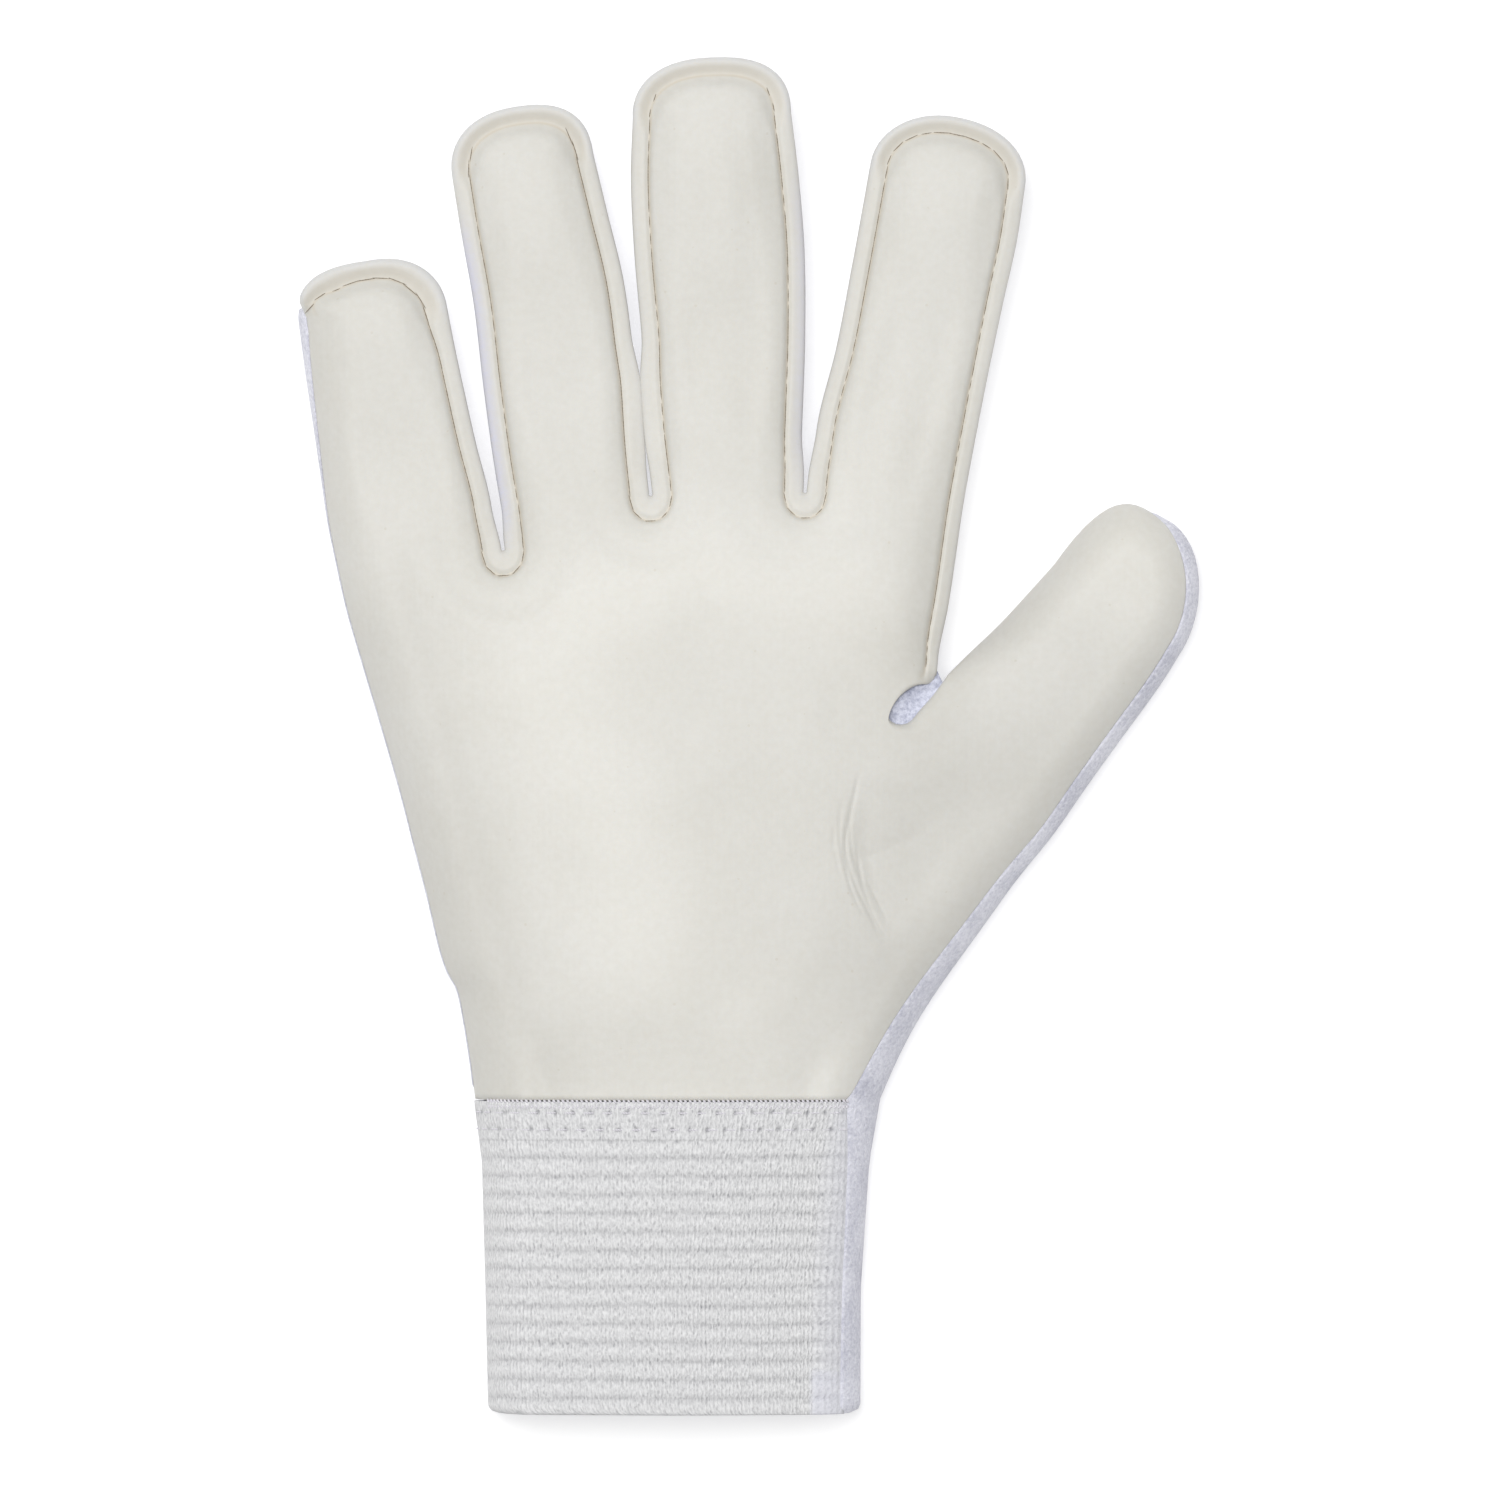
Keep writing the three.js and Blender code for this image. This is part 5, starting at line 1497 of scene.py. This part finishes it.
def makeStitchTree():
    # grains of thread at even steps along a path, each turned to follow it
    tree, start, end = startTree("threadStitches", [
        ("Pitch", "NodeSocketFloat", 0.0026), ("Length", "NodeSocketFloat", 0.002),
        ("Width", "NodeSocketFloat", 0.0004), ("Height", "NodeSocketFloat", 0.0003),
        ("Slant", "NodeSocketFloat", 0.0), ("Jitter", "NodeSocketFloat", 0.1),
        ("Seed", "NodeSocketInt", 4), ("Thread", "NodeSocketMaterial", None),
    ])
    value = start.outputs
    curve = addNode(tree, "GeometryNodeMeshToCurve", {"Mesh": value["Geometry"]})
    even = addNode(tree, "GeometryNodeResampleCurve", {
        "Curve": curve.outputs[0], "Length": value["Pitch"]}, mode="LENGTH")
    tangent = addNode(tree, "GeometryNodeInputTangent").outputs[0]
    turn = addNode(tree, "FunctionNodeAlignRotationToVector", {"Vector": tangent}, axis="X",
                   pivot_axis="AUTO")
    grain = addNode(tree, "GeometryNodeMeshUVSphere", {"Segments": 8, "Rings": 6, "Radius": 0.5})
    size = addNode(tree, "ShaderNodeCombineXYZ", {
        "X": value["Length"], "Y": value["Width"], "Z": value["Height"]})
    slant = addNode(tree, "ShaderNodeCombineXYZ", {"Z": value["Slant"]})
    shaped = addNode(tree, "GeometryNodeTransform", {
        "Geometry": grain.outputs["Mesh"], "Scale": size.outputs[0], "Rotation": slant.outputs[0]})
    jitter = addNode(tree, "FunctionNodeRandomValue", {
        "Seed": value["Seed"], "Min": 1.0, "Max": 1.0}, data_type="FLOAT")
    low = mathNode(tree, "SUBTRACT", 1.0, value["Jitter"])
    tree.links.new(low, [s for s in jitter.inputs if s.name == "Min" and s.type == "VALUE"][0])
    placed = addNode(tree, "GeometryNodeInstanceOnPoints", {
        "Points": even.outputs[0], "Instance": shaped.outputs[0], "Rotation": turn.outputs[0],
        "Scale": [s for s in jitter.outputs if s.type == "VALUE"][0]})
    real = addNode(tree, "GeometryNodeRealizeInstances", {"Geometry": placed.outputs[0]})
    shade = addNode(tree, "GeometryNodeSetShadeSmooth", {"Geometry": real.outputs[0]})
    painted = addNode(tree, "GeometryNodeSetMaterial", {
        "Geometry": shade.outputs[0], "Material": value["Thread"]})
    tree.links.new(painted.outputs[0], end.inputs[0])
    return tree


def pathPiece(name, paths):
    points, edges, start = [], [], 0
    for path in paths:
        points.append(path)
        edges += [(start + i, start + i + 1) for i in range(len(path) - 1)]
        start += len(path)
    return addObject(name, placedMesh(name, np.concatenate(points), edges, []))


ribTree = makeRibTree()
stitchTree = makeStitchTree()

cuffElastic, elasticOuter, elasticLevels, elasticAround = makeElastic()
applyTree(cuffElastic, ribTree, {
    "Rib pitch": elasticStyle["ribPitch"], "Rib height": elasticStyle["ribHeight"],
    "Loop width": elasticStyle["loopWidth"], "Loop height": elasticStyle["loopHeight"],
    "Hole pitch": elasticStyle["stitchPitch"], "Hole depth": elasticStyle["holeDepth"],
    "Hole radius": elasticStyle["holeRadius"], "First row": elasticStyle["rowsBelowTop"][0],
    "Second row": elasticStyle["rowsBelowTop"][1],
}, {"Knit": knit})
print("elastic cuff made,", len(cuffElastic.data.polygons), "faces")


# Thread work

stitchStyle = {
    "seamPitch": 2.6, "seamLength": 3.8, "seamWidth": 0.17, "seamRise": 0.02,
    "beadPitch": 0.78, "beadLength": 0.858, "beadWidth": 0.48, "beadHeight": 0.5,
    "headerLength": 2.3, "headerWidth": 0.34, "headerHeight": 0.4, "headerRise": 0.03,
}
# the seam's runs, from a share of one zone to a share of another
seamSpans = [("little_tip", 0.06, "ring_tip", 0.12), ("ring_tip", 0.88, "middle_tip", 0.12),
             ("middle_tip", 0.88, "index_side", 1)]
# the selvedge's two rows of slanting beads: below the band's top, slant, rise
beadRows = [(-0.15, 0.9, 0.1), (0.75, -0.9, 0.05)]


def foamSeamPath(stations):
    depth, z = foamUpper(stations)
    xy = (outline.edge[stations] + depth[:, 9:10] * outline.inward[stations])
    return np.column_stack([xy, z[:, 9] + liftAt(xy) + fullnessAt(xy) + stitchStyle["seamRise"]])


def makeSeamStitches():
    paths = [foamSeamPath(stationSpan(*span)) for span in seamSpans]
    return applyTree(pathPiece("seamStitches", paths), stitchTree, {
        "Pitch": stitchStyle["seamPitch"], "Length": stitchStyle["seamLength"],
        "Width": stitchStyle["seamWidth"], "Height": stitchStyle["seamWidth"],
    }, {"Jitter": 0.12, "Seed": 7, "Thread": ochreThread})


seamStitches = makeSeamStitches()


def elasticRow(fromTop, rise):
    # a path round the band at this distance below its top edge
    level = int(round(fromTop / elasticStyle["rowStep"]))
    line = elasticOuter[level]
    y = np.full(len(line), elasticLevels[level])
    tangent = np.gradient(line, axis=0)
    normal = np.stack([tangent[:, 1], -tangent[:, 0]], -1)
    normal /= np.linalg.norm(normal, axis=1, keepdims=True)
    line = line + rise * normal
    return np.column_stack([line[:, 0], y, line[:, 1]])


def makeHeaderThread():
    pieces = []
    around, pitch = elasticAround, elasticStyle["stitchPitch"]
    for row, (fromTop, offset) in enumerate(zip(elasticStyle["rowsBelowTop"], (0.0, 0.5))):
        path = elasticRow(fromTop, stitchStyle["headerRise"])
        # stitches run from one needle hole to the next
        first = (math.ceil(around[3] / pitch + offset) - offset) * pitch
        at = np.arange(first, around[-5], pitch)
        path = np.column_stack([np.interp(at, around, path[:, i]) for i in range(3)])
        pieces.append(applyTree(pathPiece(f"headerThread{row}", [path]), stitchTree, {
            "Pitch": pitch, "Length": stitchStyle["headerLength"],
            "Width": stitchStyle["headerWidth"], "Height": stitchStyle["headerHeight"],
        }, {"Jitter": 0.08, "Seed": 11 + row, "Thread": paleThread}))
    return pieces


headerThread = makeHeaderThread()


def makeSelvedge():
    pieces = []
    for row, (fromTop, slant, rise) in enumerate(beadRows):
        path = elasticRow(max(fromTop, 0), rise)
        path[:, 1] -= min(fromTop, 0)
        pieces.append(applyTree(pathPiece(f"selvedge{row}", [path[2:-10]]), stitchTree, {
            "Pitch": stitchStyle["beadPitch"], "Length": stitchStyle["beadLength"],
            "Width": stitchStyle["beadWidth"], "Height": stitchStyle["beadHeight"],
        }, {"Slant": slant, "Jitter": 0.15, "Seed": 21 + row, "Thread": paleThread}))
    return pieces


selvedge = makeSelvedge()
print("thread work made")


# Everything rides on the one body and stands for its CAD node

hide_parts("palm_foam")
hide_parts("back_panel")
for nodeName, piece in gussets.items():
    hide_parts(nodeName)
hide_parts("thumb_web")
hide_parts("cuff_elastic")
textiles = [backTextile, thumbWeb, *gussets.values()]
knits = [cuffElastic, *headerThread, *selvedge]
for piece in [palmFoam, seamStitches, *textiles, *knits]:
    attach(piece, "root")


# Floor, light and camera

studio = {
    "photoWidth": 0.2504,  # metres across the photograph at the glove
    "lookAt": (0.0001, -0.0023, 0.010),
    "lens": 400.0,
    "sensor": 36.0,
    "floor": (0.62, 0.62, 0.62),
    "floorHalf": 3.0,
    "world": 0.31,
    "glow": 0.5,  # the paper is lit through from below, which keeps shadows pale
}
# place, size and power of the two soft lights
lamps = {
    "keyLight": ((-0.8, 1.25, 1.95), 1.05, 11.0),
    "topLight": ((-0.15, 0.2, 2.3), 0.9, 34.0),
}


def makeFloor():
    mesh = bpy.data.meshes.new("floor")
    size = studio["floorHalf"]
    mesh.from_pydata([(-size, -size, 0), (size, -size, 0), (size, size, 0), (-size, size, 0)],
                     [], [(0, 1, 2, 3)])
    material, tree, shader, place = startMaterial("palePaper")
    tone = rampNode(tree, noiseNode(tree, place, 3, 2), [
        (0.3, tuple(0.985 * c for c in studio["floor"])), (0.7, studio["floor"])])
    tree.links.new(tone, shader.inputs["Base Color"])
    shader.inputs["Roughness"].default_value = 0.9
    shader.inputs["Emission Color"].default_value = (1, 1, 1, 1)
    shader.inputs["Emission Strength"].default_value = studio["glow"]
    mesh.materials.append(material)
    floor = addObject("floor", mesh)


def makeLight(name, place, size, power):
    light = bpy.data.lights.new(name, "AREA")
    light.shape = "DISK"
    light.size = size
    light.energy = power
    lamp = addObject(name, light)
    lamp.location = place
    lamp.visible_camera = False
    aim = Vector((0, 0, 0)) - Vector(place)
    lamp.rotation_euler = aim.to_track_quat("-Z", "Y").to_euler()


def makeCamera():
    camera = bpy.data.cameras.new("camera")
    camera.lens = studio["lens"]
    camera.sensor_fit = "HORIZONTAL"
    camera.sensor_width = studio["sensor"]
    camera.clip_start = 0.01
    cameraObject = addObject("camera", camera)
    x, y, z = studio["lookAt"]
    away = studio["photoWidth"] * studio["lens"] / studio["sensor"]
    cameraObject.location = (x, y, z + away)
    bpy.context.scene.camera = cameraObject


makeFloor()
for name, (place, size, power) in lamps.items():
    makeLight(name, place, size, power)
makeCamera()
world = bpy.data.worlds.new("studioWorld")
bpy.context.scene.world = world
world.use_nodes = True
background = world.node_tree.nodes["Background"]
background.inputs["Color"].default_value = (1, 1, 1, 1)
background.inputs["Strength"].default_value = studio["world"]
bpy.context.scene.view_settings.view_transform = "Standard"
print("stage and camera set")
